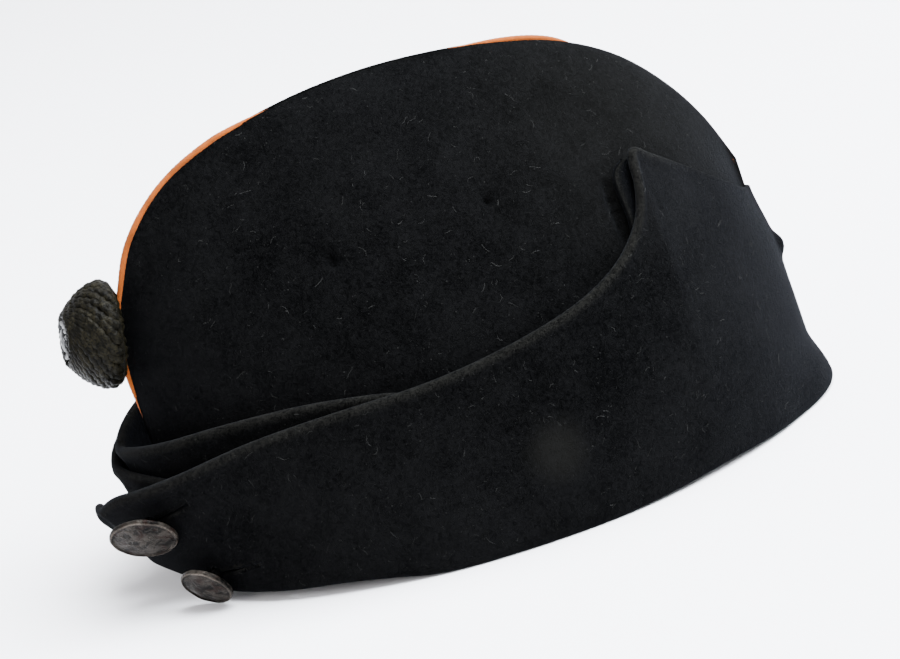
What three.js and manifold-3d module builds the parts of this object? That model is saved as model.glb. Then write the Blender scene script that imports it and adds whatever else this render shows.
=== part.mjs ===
import * as THREE from 'three';
import Module from 'manifold-3d';

// Field service cap, standing on its rim. Sizes in millimetres, angles in degrees.
// +X is the wearer's left, -Y the front, +Z up.
// Angles run round the cap: -90 at the front seam, 0 at the wearer's left, 90 at the back seam;
// below -90 they pass the front seam and go on to the wearer's right.

// Crown. Its rim flares at the back.
const CROWN_HALF_WIDTH = 61.5;
const CROWN_FRONT = 101;
const CROWN_BACK = 100.5;
const FRONT_POWER = 1.1;
const BACK_POWER = 1.18;
const EGG = -0.08;
const SIDE_LEAN_POWER = 1.5;
const BACK_LEAN_POWER = 1.05;
const BACK_LEAN_START = 0.4;
const SEAM_BOW = 3.2;
const SEAM_BOW_REACH = 6;
const BACK_FLARE = 4;
const FLARE_START = 0.8;
const FLARE_REACH = 16;
const CROWN_CLOTH = 2;
const RIDGE_MITRE = 1.3;
const SEAM_GAP = 2.9;
const CROWN_COLUMNS = 36;
const CROWN_ROWS = 12;

// Ridge line seen from the side. sharp sets how pointed the section is there (1 round, 2 pointed);
// drift is how far the seam strays past the crest to the wearer's right.
const RIDGE = [
  { angle: -90, y: -102.6, z: 83.4, sharp: 1.5, drift: 0 },
  { angle: -75, y: -95.4, z: 100.0, sharp: 1.7, drift: 0 },
  { angle: -60, y: -82.0, z: 113.6, sharp: 1.9, drift: 0 },
  { angle: -45, y: -63.0, z: 122.5, sharp: 1.9, drift: 0 },
  { angle: -30, y: -41.0, z: 128.0, sharp: 1.8, drift: 0 },
  { angle: -15, y: -18.0, z: 130.4, sharp: 1.7, drift: 0 },
  { angle: 0, y: 4.0, z: 130.0, sharp: 1.6, drift: 0 },
  { angle: 15, y: 24.8, z: 127.6, sharp: 1.5, drift: 0 },
  { angle: 30, y: 43.2, z: 122.8, sharp: 1.4, drift: 3 },
  { angle: 45, y: 59.4, z: 114.6, sharp: 1.3, drift: 12 },
  { angle: 60, y: 72.5, z: 102.8, sharp: 1.2, drift: 13 },
  { angle: 75, y: 83.4, z: 88.4, sharp: 1.15, drift: 9 },
  { angle: 90, y: 91.2, z: 73.0, sharp: 1.1, drift: 0 },
];

// Rise and fall of the rim, which touches down at the sides and at the back.
const RIM_REACH = 30;
const RIM = [
  { angle: -90, rise: 4.5 },
  { angle: -80, rise: 4.2 },
  { angle: -72, rise: 3 },
  { angle: -64, rise: 1 },
  { angle: -52, rise: 0.8 },
  { angle: -40, rise: 1 },
  { angle: -32, rise: 0 },
  { angle: -25, rise: -1.6 },
  { angle: -18, rise: -2 },
  { angle: -6, rise: -2 },
  { angle: 6, rise: -2 },
  { angle: 18, rise: -1.2 },
  { angle: 30, rise: -0.4 },
  { angle: 45, rise: -1.2 },
  { angle: 60, rise: -2 },
  { angle: 75, rise: -2 },
  { angle: 90, rise: -2 },
];

// Piping: rise is how far its middle stands over the ridge, or under it where the panels roll over the cord.
const PIPING_RADIUS = 1;
const PIPING_RISE = [
  { y: -64, rise: 0.4 },
  { y: -55, rise: -0.5 },
  { y: -48, rise: -1.2 },
  { y: -40, rise: -1.9 },
  { y: -4, rise: -1.9 },
  { y: 6, rise: -1.4 },
  { y: 16, rise: -0.7 },
  { y: 26, rise: 0.1 },
  { y: 40, rise: 0.2 },
  { y: 50, rise: -1.4 },
];
const PIPING_SIDES = 8;
const PIPING_STEPS = 64;
const FRONT_SEAM_STEPS = 5;
const RIDGE_STEPS = 24;
const BACK_SEAM_STEPS = 4;
const PIPING_FRONT_FOOT = 14;
const PIPING_BACK_FOOT = 6;

// Flaps: at each bottom angle the top edge lies at the top angle and height.
// low and high are the inner face's distances from the crown at the rim and at the top edge.
const FLAP_CLOTH = 2.5;
const FLAP_ROWS = 6;
const FLAP_COLUMNS = 54;
const FLAP_LIP = 0.9;
const BACK_SEAM = 90;
const BACK_GAP = 0.4;
const LEFT_FLAP = [
  { bottom: -98, top: -95.5, height: 14.5, low: 9.0, high: 17.0 },
  { bottom: -95, top: -94.0, height: 20.5, low: 9.0, high: 19.6 },
  { bottom: -91, top: -90.6, height: 26.5, low: 8.6, high: 19.6 },
  { bottom: -84, top: -84, height: 31, low: 7.4, high: 18.0 },
  { bottom: -75, top: -75, height: 33.8, low: 6.5, high: 16.0 },
  { bottom: -65, top: -65, height: 37.2, low: 6.3, high: 13.4 },
  { bottom: -52, top: -52, height: 42.4, low: 6.3, high: 10.8 },
  { bottom: -42, top: -42, height: 45.3, low: 5.2, high: 8.4 },
  { bottom: -32, top: -32, height: 47.4, low: 4.2, high: 5.8 },
  { bottom: -22, top: -22, height: 49, low: 3.4, high: 3.9 },
  { bottom: -12, top: -12, height: 51.3, low: 2.2, high: 2.6 },
  { bottom: 0, top: 0, height: 55, low: 1.2, high: 1.8 },
  { bottom: 10, top: 10, height: 59.2, low: 0.8, high: 1.6 },
  { bottom: 18, top: 18, height: 64.4, low: 0.6, high: 1.8 },
  { bottom: 24, top: 23.6, height: 70.6, low: 0.5, high: 2.2 },
  { bottom: 27, top: 26.6, height: 76.2, low: 0.5, high: 2.9 },
  { bottom: 29, top: 28.4, height: 82.6, low: 0.5, high: 3.4 },
  { bottom: 31, top: 29.2, height: 88, low: 0.5, high: 3.4 },
  { bottom: 33.5, top: 30.6, height: 91, low: 0.5, high: 2.9 },
  { bottom: 37, top: 34.4, height: 88.8, low: 0.5, high: 2.0 },
  { bottom: 46, top: 46, height: 82, low: 0.6, high: 1.0 },
  { bottom: 60, top: 60, height: 73, low: 0.8, high: 1.0 },
  { bottom: 75, top: 75, height: 66, low: 1.4, high: 1.2 },
  { bottom: 90, top: 90, height: 63.5, low: 2.4, high: 1.3 },
];
// Front of the wearer's right flap, whose tab goes on past the front seam under the left flap.
const RIGHT_FLAP_FRONT = [
  { bottom: -128, top: -127, height: 27, low: 3.4, high: 6.0 },
  { bottom: -124, top: -124, height: 30, low: 3.4, high: 6.6 },
  { bottom: -115, top: -115, height: 32, low: 3.4, high: 7.8 },
  { bottom: -105, top: -105, height: 34.5, low: 3.42, high: 9.2 },
  { bottom: -95, top: -95, height: 36, low: 3.42, high: 10.4 },
  { bottom: -85, top: -85, height: 37.5, low: 3.42, high: 10.9 },
  { bottom: -75, top: -75, height: 39, low: 3.42, high: 10.4 },
  { bottom: -65, top: -65, height: 40.5, low: 3.4, high: 9.2 },
  { bottom: -52, top: -52, height: 43.2, low: 3.4, high: 7.6 },
  { bottom: -42, top: -42, height: 45.4, low: 3.4, high: 6.2 },
  { bottom: -32, top: -32, height: 47.4, low: 3.4, high: 4.8 },
];
const RIGHT_FLAP = RIGHT_FLAP_FRONT.concat(LEFT_FLAP.filter((row) => row.bottom > -32));

// Peak, folded up against the crown behind the flaps.
const PEAK_CLOTH = 2.4;
const PEAK_ROWS = 6;
const PEAK_COLUMNS = 36;
const PEAK_LIP = 1.1;
const PEAK_CURL = 1.2;
const PEAK_HALF = [
  { angle: -90, height: 42, low: 0.5, high: 7.8 },
  { angle: -80, height: 43, low: 0.5, high: 7.7 },
  { angle: -70, height: 44.6, low: 0.5, high: 7.4 },
  { angle: -60, height: 46.8, low: 0.5, high: 6.4 },
  { angle: -50, height: 48.6, low: 0.5, high: 5.0 },
  { angle: -41, height: 49.6, low: 0.5, high: 3.2 },
  { angle: -32, height: 49.4, low: 0.5, high: 1.7 },
  { angle: -25, height: 48.2, low: 0.5, high: 0.7 },
  { angle: -22, height: 46, low: 0.5, high: 0.5 },
];

// Buttons: the shank stands square to the left flap at its eye, the disc on it tips to look along facing.
const BUTTON_SEGMENTS = 24;
const SHANK_SEGMENTS = 12;
const BUTTON_OUTLINE = [
  { share: 0, rise: 0 }, { share: 0.93, rise: 0 }, { share: 1, rise: 0.6 }, { share: 0.97, rise: 1.2 },
  { share: 0.8, rise: 2.0 }, { share: 0.5, rise: 2.8 }, { share: 0, rise: 3.2 },
];
const SHANK_RADIUS = 1.5;
const SHANK_GAP = 0.7;
const SHANK_BITE = 0.8;
const EYE_RADIUS = 2.1;
const SLIT_WIDTH = 1.4;
const SLIT_LENGTH = 17;
const HOLE_SEGMENTS = 8;
const HOLE_DEPTH = 10;
const HOLE_INWARD = 6;
const BUTTONS = [
  { name: 'button_upper', eyeAngle: -75.6, eyeHeight: 23.2, slitAngle: -63.6, slitHeight: 30.4,
    radius: 9.9, facing: [0.70, -0.34, -0.63], clear: 5.8 },
  { name: 'button_lower', eyeAngle: -65.2, eyeHeight: 5.6, slitAngle: -55.2, slitHeight: 8.8,
    radius: 7.8, facing: [0.57, -0.62, -0.53], clear: 5.0 },
];

// Corded boss and its stud
const BOSS_RADIUS = 16;
const BOSS_HEIGHT = 15.5;
const BOSS_EDGE = 4;
const BOSS_FLAT = 8;
const BOSS_RECESS = 6.6;
const BOSS_RECESS_DEPTH = 2.2;
const BOSS_ROUND = 2.2;
const BOSS_Z = 75;
const BOSS_SINK = -1.2;
const BOSS_TILT = 8;
const BOSS_SEGMENTS = 32;
const BOSS_BACK = [
  { share: 0, rise: 0 }, { share: 0.58, rise: 0 }, { share: 0.88, rise: 1.6 }, { share: 1, rise: BOSS_EDGE },
];
const BOSS_STEPS = 9;
const PROW_TOP = 80;
const PROW_GAP = 2.3;
const PROW_REACH = 60;
const PROW_STEPS = 20;
const PROW_LEVELS = [0.6, 0.7, 0.8, 0.9, 1, 1.3];
const STUD_RADIUS = 6.2;
const STUD_GAP = 0.3;
const STUD_OUTLINE = [
  { share: 0, rise: 0 }, { share: 0.8, rise: 0 }, { share: 1, rise: 0.8 }, { share: 1, rise: 1.6 },
  { share: 0.8, rise: 2.4 }, { share: 0.62, rise: 2.5 }, { share: 0.5, rise: 2.9 }, { share: 0, rise: 3.3 },
];

// Points closer than this are one point.
const JOIN_DISTANCE = 0.0005;

// Shift that puts the middle of the cap's length over the origin and its rim on the floor.
const CENTRE_Y = 7.9;
const CENTRE_Z = 2.05;

function material(name, color, roughness, metalness) {
  return new THREE.MeshStandardMaterial({ name, color, roughness, metalness });
}

const BLACK_WOOL = material('black_wool', 0x2a2b2e, 0.95, 0);
const ORANGE_CORD = material('orange_cord', 0xd8853c, 0.85, 0);
const TARNISHED_PEWTER = material('tarnished_pewter', 0x9a958c, 0.5, 0.8);
const GIMP_CORD = material('gimp_cord', 0x45443a, 0.8, 0);
const DARK_METAL = material('dark_metal', 0x3a3c40, 0.35, 0.9);

const radians = THREE.MathUtils.degToRad;
const { lerp, smoothstep } = THREE.MathUtils;
const vector = (x, y, z) => new THREE.Vector3(x, y, z);
const range = (count) => Array.from({ length: count + 1 }, (_, i) => i / count);

// Smooth reading of one column of a table whose first column rises; held at the ends.
function read(table, key, at, column) {
  const last = table.length - 1;
  const place = Math.min(Math.max(at, table[0][key]), table[last][key]);
  let i = 0;
  while (i < last - 1 && place >= table[i + 1][key]) i += 1;
  const before = table[Math.max(i - 1, 0)];
  const start = table[i];
  const end = table[i + 1];
  const after = table[Math.min(i + 2, last)];
  const span = end[key] - start[key];
  const t = (place - start[key]) / span;
  const slopeStart = (end[column] - before[column]) / (end[key] - before[key]) * span;
  const slopeEnd = (after[column] - start[column]) / (after[key] - start[key]) * span;
  return (2 * t ** 3 - 3 * t ** 2 + 1) * start[column] + (t ** 3 - 2 * t ** 2 + t) * slopeStart
    + (3 * t ** 2 - 2 * t ** 3) * end[column] + (t ** 3 - t ** 2) * slopeEnd;
}

// Outer (inset 0) or inner line of the ridge in the middle plane.
function ridge(angle, inset) {
  const step = 1;
  const y = read(RIDGE, 'angle', angle, 'y');
  const z = read(RIDGE, 'angle', angle, 'z');
  const dy = read(RIDGE, 'angle', angle + step, 'y') - read(RIDGE, 'angle', angle - step, 'y');
  const dz = read(RIDGE, 'angle', angle + step, 'z') - read(RIDGE, 'angle', angle - step, 'z');
  const scale = inset * RIDGE_MITRE / Math.hypot(dy, dz);
  return { y: y + dz * scale, z: z - dy * scale };
}

const drift = (angle) => Math.max(read(RIDGE, 'angle', angle, 'drift'), 0);

// Point of the crown on the wearer's left: lift is 0 at the rim, 90 at the crest and more beyond it.
function crownPoint(angle, lift, inset) {
  const s = Math.sin(radians(angle));
  const c = Math.max(Math.cos(radians(angle)), 0);
  const power = s < 0 ? FRONT_POWER : BACK_POWER;
  const rimX = Math.max(CROWN_HALF_WIDTH * c ** power * (1 + EGG * s) - inset * c ** 0.5, 0);
  const rimY = ((s < 0 ? CROWN_FRONT : CROWN_BACK) - inset) * s;
  const crest = ridge(angle, inset);
  const sharp = read(RIDGE, 'angle', angle, 'sharp');
  const rise = Math.sin(radians(lift));
  const across = Math.cos(radians(lift));
  const bow = SEAM_BOW * Math.max(-s, 0) ** SEAM_BOW_REACH * Math.sin(Math.PI * rise ** 2);
  const lean = lerp(SIDE_LEAN_POWER, BACK_LEAN_POWER, smoothstep(s, BACK_LEAN_START, 1));
  const z = crest.z * rise;
  const flare = BACK_FLARE * smoothstep(s, FLARE_START, 1) * (1 - smoothstep(z, 0, FLARE_REACH));
  const y = rimY + (crest.y - rimY) * rise ** lean - bow + flare;
  const bend = read(RIM, 'angle', angle, 'rise') * (1 - smoothstep(z, 0, RIM_REACH));
  return vector(rimX * Math.sign(across) * Math.abs(across) ** sharp, y, z + bend);
}

// Outer surface of the crown at an angle and height, on either side of the front seam.
function crownAt(angle, height) {
  const past = angle < -90;
  const own = past ? -180 - angle : angle;
  const lift = THREE.MathUtils.radToDeg(Math.asin(Math.min(height / ridge(own, 0).z, 1)));
  const point = crownPoint(own, lift, 0);
  if (past) point.x = -point.x;
  return point;
}

function crownNormal(angle, height) {
  const step = 0.6;
  const along = crownAt(Math.min(angle + step, BACK_SEAM), height).sub(crownAt(angle - step, height));
  const up = crownAt(angle, height + step).sub(crownAt(angle, Math.max(height - step, 0)));
  if (angle > BACK_SEAM - step) along.set(-1, 0, 0);
  return along.cross(up).normalize();
}

// Place at a distance out from the crown.
function standOff(angle, height, distance) {
  return crownAt(angle, height).addScaledVector(crownNormal(angle, height), distance);
}

// Closed solid through a row of closed loops of points, with flat ends.
function loft(loops) {
  const count = loops[0].length;
  const positions = loops.flat().flatMap((p) => [p.x, p.y, p.z]);
  const triangles = [];
  for (let i = 0; i < loops.length - 1; i += 1) {
    for (let j = 0; j < count; j += 1) {
      const a = i * count + j;
      const b = i * count + (j + 1) % count;
      triangles.push(a, b, b + count, a, b + count, a + count);
    }
  }
  const base = (loops.length - 1) * count;
  for (let low = 0, high = count - 1; low < high; low += 1, high -= 1) {
    const ends = high - low > 2 ? [[low, high, high - 1], [low, high - 1, low + 1]] : [[low, high, low + 1]];
    for (const [p, q, r] of ends) {
      triangles.push(p, q, r);
      triangles.push(base + p, base + r, base + q);
    }
  }
  const geometry = new THREE.BufferGeometry();
  geometry.setAttribute('position', new THREE.Float32BufferAttribute(positions, 3));
  geometry.setIndex(volume(positions, triangles) < 0 ? triangles.reverse() : triangles);
  return geometry;
}

function volume(positions, triangles) {
  const corner = (i) => vector(positions[3 * i], positions[3 * i + 1], positions[3 * i + 2]);
  let total = 0;
  for (let i = 0; i < triangles.length; i += 3) {
    total += corner(triangles[i]).dot(corner(triangles[i + 1]).cross(corner(triangles[i + 2]))) / 6;
  }
  return total;
}

// One half of the crown, from the front seam to the back seam and from the rim to the ridge.
function crownPanel(side) {
  const place = (angle, step, inset) => {
    const crest = 90 + side * drift(angle);
    const point = crownPoint(angle, step * crest, inset);
    const seam = crownPoint(angle, crest, inset).x;
    return vector(side * (seam + Math.hypot(point.x - seam, SEAM_GAP / 2)), point.y, point.z);
  };
  const loops = range(CROWN_COLUMNS).map((u) => {
    const angle = -90 + 180 * u;
    const outer = range(CROWN_ROWS).map((v) => place(angle, v, 0));
    const inner = range(CROWN_ROWS).map((v) => place(angle, v, CROWN_CLOTH));
    return outer.concat(inner.reverse());
  });
  return loft(loops);
}

// Line the piping follows: up the front seam, along the ridge and down the back seam.
function seamLine() {
  const first = RIDGE[0].z;
  const last = RIDGE[RIDGE.length - 1].z;
  const rises = range(FRONT_SEAM_STEPS).slice(0, -1).map((v) => lerp(PIPING_FRONT_FOOT, first, v));
  const front = rises.map((height) => crownAt(-90, height));
  const angles = range(RIDGE_STEPS).map((u) => lerp(-90, 90, u));
  const top = angles.map((angle) => crownPoint(angle, 90 + drift(angle), 0));
  const back = range(BACK_SEAM_STEPS).slice(1).map((v) => crownAt(90, lerp(last, PIPING_BACK_FOOT, v)));
  const seam = new THREE.CatmullRomCurve3(front.concat(top, back));
  const raised = range(PIPING_STEPS).map((u) => {
    const point = seam.getPointAt(u);
    const along = seam.getTangentAt(u);
    const out = vector(point.x / CROWN_HALF_WIDTH, -along.z, along.y).normalize();
    return point.addScaledVector(out, read(PIPING_RISE, 'y', point.y, 'rise'));
  });
  return new THREE.CatmullRomCurve3(raised);
}

function piping() {
  const line = seamLine();
  const loops = range(PIPING_STEPS).map((u) => {
    const centre = line.getPointAt(u);
    const along = line.getTangentAt(u);
    const across = vector(1, 0, 0).addScaledVector(along, -along.x).normalize();
    const out = along.clone().cross(across);
    return range(PIPING_SIDES).slice(1).map((v) => {
      const turn = 2 * Math.PI * v;
      return centre.clone()
        .addScaledVector(across, PIPING_RADIUS * Math.cos(turn))
        .addScaledVector(out, PIPING_RADIUS * Math.sin(turn));
    });
  });
  return loft(loops);
}

// Wall of cloth standing off the crown; edge(u) gives its angles, height and distances there.
function wall(columns, rows, cloth, lip, curl, shift, edge) {
  const loops = range(columns).map((u) => {
    const row = edge(u);
    const place = (v, extra, raise) => {
      const angle = row.bottom + (row.top - row.bottom) * v;
      const distance = row.low + (row.high - row.low) * v ** curl;
      const point = standOff(angle, row.height * v + raise, distance + extra);
      point.x += shift;
      return point;
    };
    const outer = range(rows).map((v) => place(v, cloth, 0));
    const inner = range(rows).map((v) => place(v, 0, 0));
    return outer.concat([place(1, cloth / 2, lip)], inner.reverse());
  });
  return loft(loops);
}

// Even steps along a table's first column, with more steps where the rows lie close.
function flapEdge(table) {
  return (u) => {
    const place = u * (table.length - 1);
    const i = Math.min(Math.floor(place), table.length - 2);
    const bottom = table[i].bottom + (table[i + 1].bottom - table[i].bottom) * (place - i);
    const at = (column) => read(table, 'bottom', bottom, column);
    return { bottom, top: at('top'), height: at('height'), low: at('low'), high: at('high') };
  };
}

const flap = (table) => wall(FLAP_COLUMNS, FLAP_ROWS, FLAP_CLOTH, FLAP_LIP, 1, BACK_GAP / 2, flapEdge(table));

function mirrored(geometry) {
  const place = geometry.getAttribute('position');
  for (let i = 0; i < place.count; i += 1) place.setX(i, -place.getX(i));
  geometry.setIndex(Array.from(geometry.getIndex().array).reverse());
  return geometry;
}

function peak() {
  return wall(PEAK_COLUMNS, PEAK_ROWS, PEAK_CLOTH, PEAK_LIP, PEAK_CURL, 0, (u) => {
    const end = PEAK_HALF[PEAK_HALF.length - 1].angle;
    const angle = -180 - end + (2 * end + 180) * u;
    const own = angle < -90 ? -180 - angle : angle;
    const at = (column) => read(PEAK_HALF, 'angle', own, column);
    return { bottom: angle, top: angle, height: at('height'), low: at('low'), high: at('high') };
  });
}

// Distance of the left flap's inner face from the crown.
function leftFlapDistance(angle, height) {
  const at = (column) => read(LEFT_FLAP, 'bottom', angle, column);
  return at('low') + (at('high') - at('low')) * height / at('height');
}

function tabDistance(angle, height) {
  const at = (column) => read(RIGHT_FLAP, 'bottom', -180 - angle, column);
  return at('low') + (at('high') - at('low')) * height / at('height');
}

// Frame of a buttonhole: its eye, the direction of the slit, and the flap's outward direction.
function buttonhole(button) {
  const outer = (angle, height) => standOff(angle, height, leftFlapDistance(angle, height) + FLAP_CLOTH);
  const eye = outer(button.eyeAngle, button.eyeHeight);
  const along = outer(button.slitAngle, button.slitHeight).sub(eye).normalize();
  const up = outer(button.eyeAngle, button.eyeHeight + 3).sub(eye);
  const out = along.clone().cross(up).normalize();
  const across = out.clone().cross(along);
  return { eye, out, frame: new THREE.Matrix4().makeBasis(along, across, out).setPosition(eye) };
}

function holeCutter(button) {
  const shape = new THREE.Shape();
  const half = SLIT_WIDTH / 2;
  const start = Math.asin(half / EYE_RADIUS);
  shape.absarc(0, 0, EYE_RADIUS, start, 2 * Math.PI - start, false);
  shape.lineTo(SLIT_LENGTH, -half);
  shape.lineTo(SLIT_LENGTH, half);
  const settings = { depth: HOLE_DEPTH, bevelEnabled: false, curveSegments: HOLE_SEGMENTS };
  const cutter = new THREE.ExtrudeGeometry(shape, settings);
  return cutter.translate(0, 0, -HOLE_INWARD).applyMatrix4(buttonhole(button).frame);
}

const wasm = await Module();
wasm.setup();

// Solid of a closed mesh, with points that lie together joined and empty triangles dropped.
function solid(geometry) {
  const place = geometry.getAttribute('position');
  const index = geometry.getIndex();
  const corners = index ? Array.from(index.array) : Array.from({ length: place.count }, (_, i) => i);
  const seen = new Map();
  const points = [];
  const joined = corners.map((i) => {
    const point = [place.getX(i), place.getY(i), place.getZ(i)];
    const key = point.map((value) => Math.round(value / JOIN_DISTANCE) + 0).join();
    if (!seen.has(key)) {
      seen.set(key, points.length / 3);
      points.push(...point);
    }
    return seen.get(key);
  });
  const triangles = [];
  for (let i = 0; i < joined.length; i += 3) {
    const [a, b, c] = joined.slice(i, i + 3);
    if (a !== b && b !== c && c !== a) triangles.push(a, b, c);
  }
  return new wasm.Manifold(new wasm.Mesh({
    numProp: 3,
    vertProperties: new Float32Array(points),
    triVerts: new Uint32Array(triangles),
  }));
}

function geometryOf(whole) {
  const mesh = whole.getMesh();
  const geometry = new THREE.BufferGeometry();
  geometry.setAttribute('position', new THREE.Float32BufferAttribute(mesh.vertProperties, 3));
  geometry.setIndex(Array.from(mesh.triVerts));
  return geometry;
}

function leftFlap() {
  const cutters = BUTTONS.map((button) => solid(holeCutter(button)));
  return geometryOf(cutters.reduce((rest, cutter) => rest.subtract(cutter), solid(flap(LEFT_FLAP))));
}

// Solid of revolution about +Y; the outline gives its radius as a share and its rise.
function turned(outline, radius, segments) {
  const points = outline.map(({ share, rise }) => new THREE.Vector2(share * radius, rise));
  return new THREE.LatheGeometry(points, segments);
}

// Turns a solid of revolution standing on +Y towards a direction and moves its foot to a place.
function aimed(geometry, direction, foot) {
  const turn = new THREE.Quaternion().setFromUnitVectors(vector(0, 1, 0), direction);
  return geometry.applyQuaternion(turn).translate(foot.x, foot.y, foot.z);
}

function buttonSolid(button) {
  const facing = vector(...button.facing).normalize();
  const { eye, out } = buttonhole(button);
  const { eyeAngle, eyeHeight } = button;
  const depth = leftFlapDistance(eyeAngle, eyeHeight) - tabDistance(eyeAngle, eyeHeight);
  const length = depth - SHANK_GAP + button.clear + SHANK_BITE;
  const pin = new THREE.CylinderGeometry(SHANK_RADIUS, SHANK_RADIUS, length, SHANK_SEGMENTS);
  pin.translate(0, length / 2, 0);
  const foot = eye.clone().addScaledVector(out, SHANK_GAP - depth);
  const shank = solid(aimed(pin, out, foot));
  const back = eye.clone().addScaledVector(out, button.clear);
  const disc = solid(aimed(turned(BUTTON_OUTLINE, button.radius, BUTTON_SEGMENTS), facing, back));
  return geometryOf(shank.add(disc));
}

const bossAxis = vector(0, -Math.cos(radians(BOSS_TILT)), Math.sin(radians(BOSS_TILT)));
const bossFoot = () => crownAt(-90, BOSS_Z).addScaledVector(bossAxis, -BOSS_SINK);

// Front of the crown swelled to clear the piping; the back of the boss is hollowed to fit it.
function prow() {
  const loops = PROW_LEVELS.map((v) => {
    const height = v * PROW_TOP;
    const angles = range(PROW_STEPS).map((u) => lerp(-90 - PROW_REACH, -90 + PROW_REACH, u));
    const plan = angles.map((angle) => standOff(angle, Math.min(height, PROW_TOP), PROW_GAP));
    return plan.map((point) => vector(point.x, point.y, height));
  });
  return loft(loops);
}

function boss() {
  const arc = range(BOSS_STEPS).slice(1).map((u) => {
    const turn = u * Math.PI / 2;
    const share = lerp(BOSS_FLAT / BOSS_RADIUS, 1, Math.cos(turn) ** BOSS_ROUND);
    return { share, rise: lerp(BOSS_EDGE, BOSS_HEIGHT, Math.sin(turn)) };
  });
  const rim = BOSS_RECESS / BOSS_RADIUS;
  const floor = BOSS_HEIGHT - BOSS_RECESS_DEPTH;
  const recess = [{ share: rim, rise: BOSS_HEIGHT }, { share: rim, rise: floor }, { share: 0, rise: floor }];
  const outline = [...BOSS_BACK, ...arc, ...recess];
  const dome = aimed(turned(outline, BOSS_RADIUS, BOSS_SEGMENTS), bossAxis, bossFoot());
  return geometryOf(solid(dome).subtract(solid(prow())));
}

function stud() {
  const foot = bossFoot().addScaledVector(bossAxis, BOSS_HEIGHT - BOSS_RECESS_DEPTH + STUD_GAP);
  return aimed(turned(STUD_OUTLINE, STUD_RADIUS, BOSS_SEGMENTS), bossAxis, foot);
}

const cap = new THREE.Group();
cap.name = 'field_service_cap';
cap.position.set(0, CENTRE_Y, CENTRE_Z);

function add(name, geometry, material) {
  const mesh = new THREE.Mesh(geometry, material);
  mesh.name = name;
  cap.add(mesh);
}

add('crown_left', crownPanel(1), BLACK_WOOL);
add('crown_right', crownPanel(-1), BLACK_WOOL);
add('piping', piping(), ORANGE_CORD);
add('peak', peak(), BLACK_WOOL);
add('curtain_left', leftFlap(), BLACK_WOOL);
add('curtain_right', mirrored(flap(RIGHT_FLAP)), BLACK_WOOL);
for (const button of BUTTONS) add(button.name, buttonSolid(button), TARNISHED_PEWTER);
add('boss', boss(), GIMP_CORD);
add('boss_ornament', stud(), DARK_METAL);

export default cap;
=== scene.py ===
"""Dresses the field service cap: wool panels, orange piping, tarnished buttons, corded boss and lint."""
import math

import bpy
import numpy as np
from mathutils import Matrix, Vector


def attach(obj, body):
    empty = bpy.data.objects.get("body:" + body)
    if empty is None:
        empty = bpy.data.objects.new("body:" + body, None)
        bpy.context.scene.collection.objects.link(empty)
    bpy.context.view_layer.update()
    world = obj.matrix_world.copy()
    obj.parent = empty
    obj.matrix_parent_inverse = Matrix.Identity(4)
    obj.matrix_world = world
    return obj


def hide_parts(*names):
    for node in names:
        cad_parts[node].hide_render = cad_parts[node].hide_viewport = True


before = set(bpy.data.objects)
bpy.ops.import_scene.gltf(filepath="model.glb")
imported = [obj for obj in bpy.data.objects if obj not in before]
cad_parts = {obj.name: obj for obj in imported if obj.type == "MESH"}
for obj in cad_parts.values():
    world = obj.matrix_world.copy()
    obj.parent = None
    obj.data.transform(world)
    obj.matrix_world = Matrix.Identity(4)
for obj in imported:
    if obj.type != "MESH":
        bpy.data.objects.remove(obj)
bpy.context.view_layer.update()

bl_info = {
    "name": "Field Service Cap",
    "version": (1, 0, 0),
    "blender": (4, 5, 0),
    "location": "View3D > Sidebar > Cap",
    "description": "Builds the cloth, cord and metal pieces of a folding wool service cap on its frame",
    "category": "Add Mesh",
}

# Sizes are in millimetres and angles in degrees, in the cap's own frame, which lies CENTRE away from the
# shared frame. Angles run round the cap: -90 at the front seam, 0 at the wearer's left, 90 at the back seam.
MM = 0.001
CENTRE = (0, 7.9, 2.05)
SEED = 41
# Edges between faces that meet at a sharper angle than this are not smoothed
SHARP_ANGLE = 50
# Random swell of cloth and metal: how many waves are summed, and the spread of their lengths
WAVE_COUNT = 9
WAVE_SPREAD = (0.6, 1.6)
# Small flat at the middle of a turned face
POLE = 0.05
# Random start of a twist
ANY_PHASE = (0, 6.3)


def table(names, *rows):
    """Named columns of a short table."""
    return {name: np.array(column, float) for name, column in zip(names, zip(*rows))}


# Crown: plan of its rim, which EGG makes wider towards the front
CROWN_HALF_WIDTH = 61.5
CROWN_FRONT = 101
CROWN_BACK = 100.5
FRONT_POWER = 1.1
BACK_POWER = 1.18
EGG = -0.08
# How its walls lean in towards the ridge, its front seam bows and its back seam flares
SIDE_LEAN_POWER = 1.5
BACK_LEAN_POWER = 1.05
BACK_LEAN_START = 0.4
SEAM_BOW = 3.2
SEAM_BOW_REACH = 6
BACK_FLARE = 4
FLARE_START = 0.8
FLARE_REACH = 16
# Its cloth, seam and swell
CROWN_CLOTH = 2
RIDGE_MITRE = 1.3
SEAM_GAP = 1.7
CROWN_COLUMNS = 260
CROWN_ROWS = 120
CROWN_WAVE = 0.45
CROWN_WAVE_LENGTH = 46
# Shares of a panel's length and height beside its seams and rim where the cloth lies still
SEAM_STILL = 0.08
RIDGE_STILL = 0.25
RIM_STILL = (0.1, 0.4)
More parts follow.
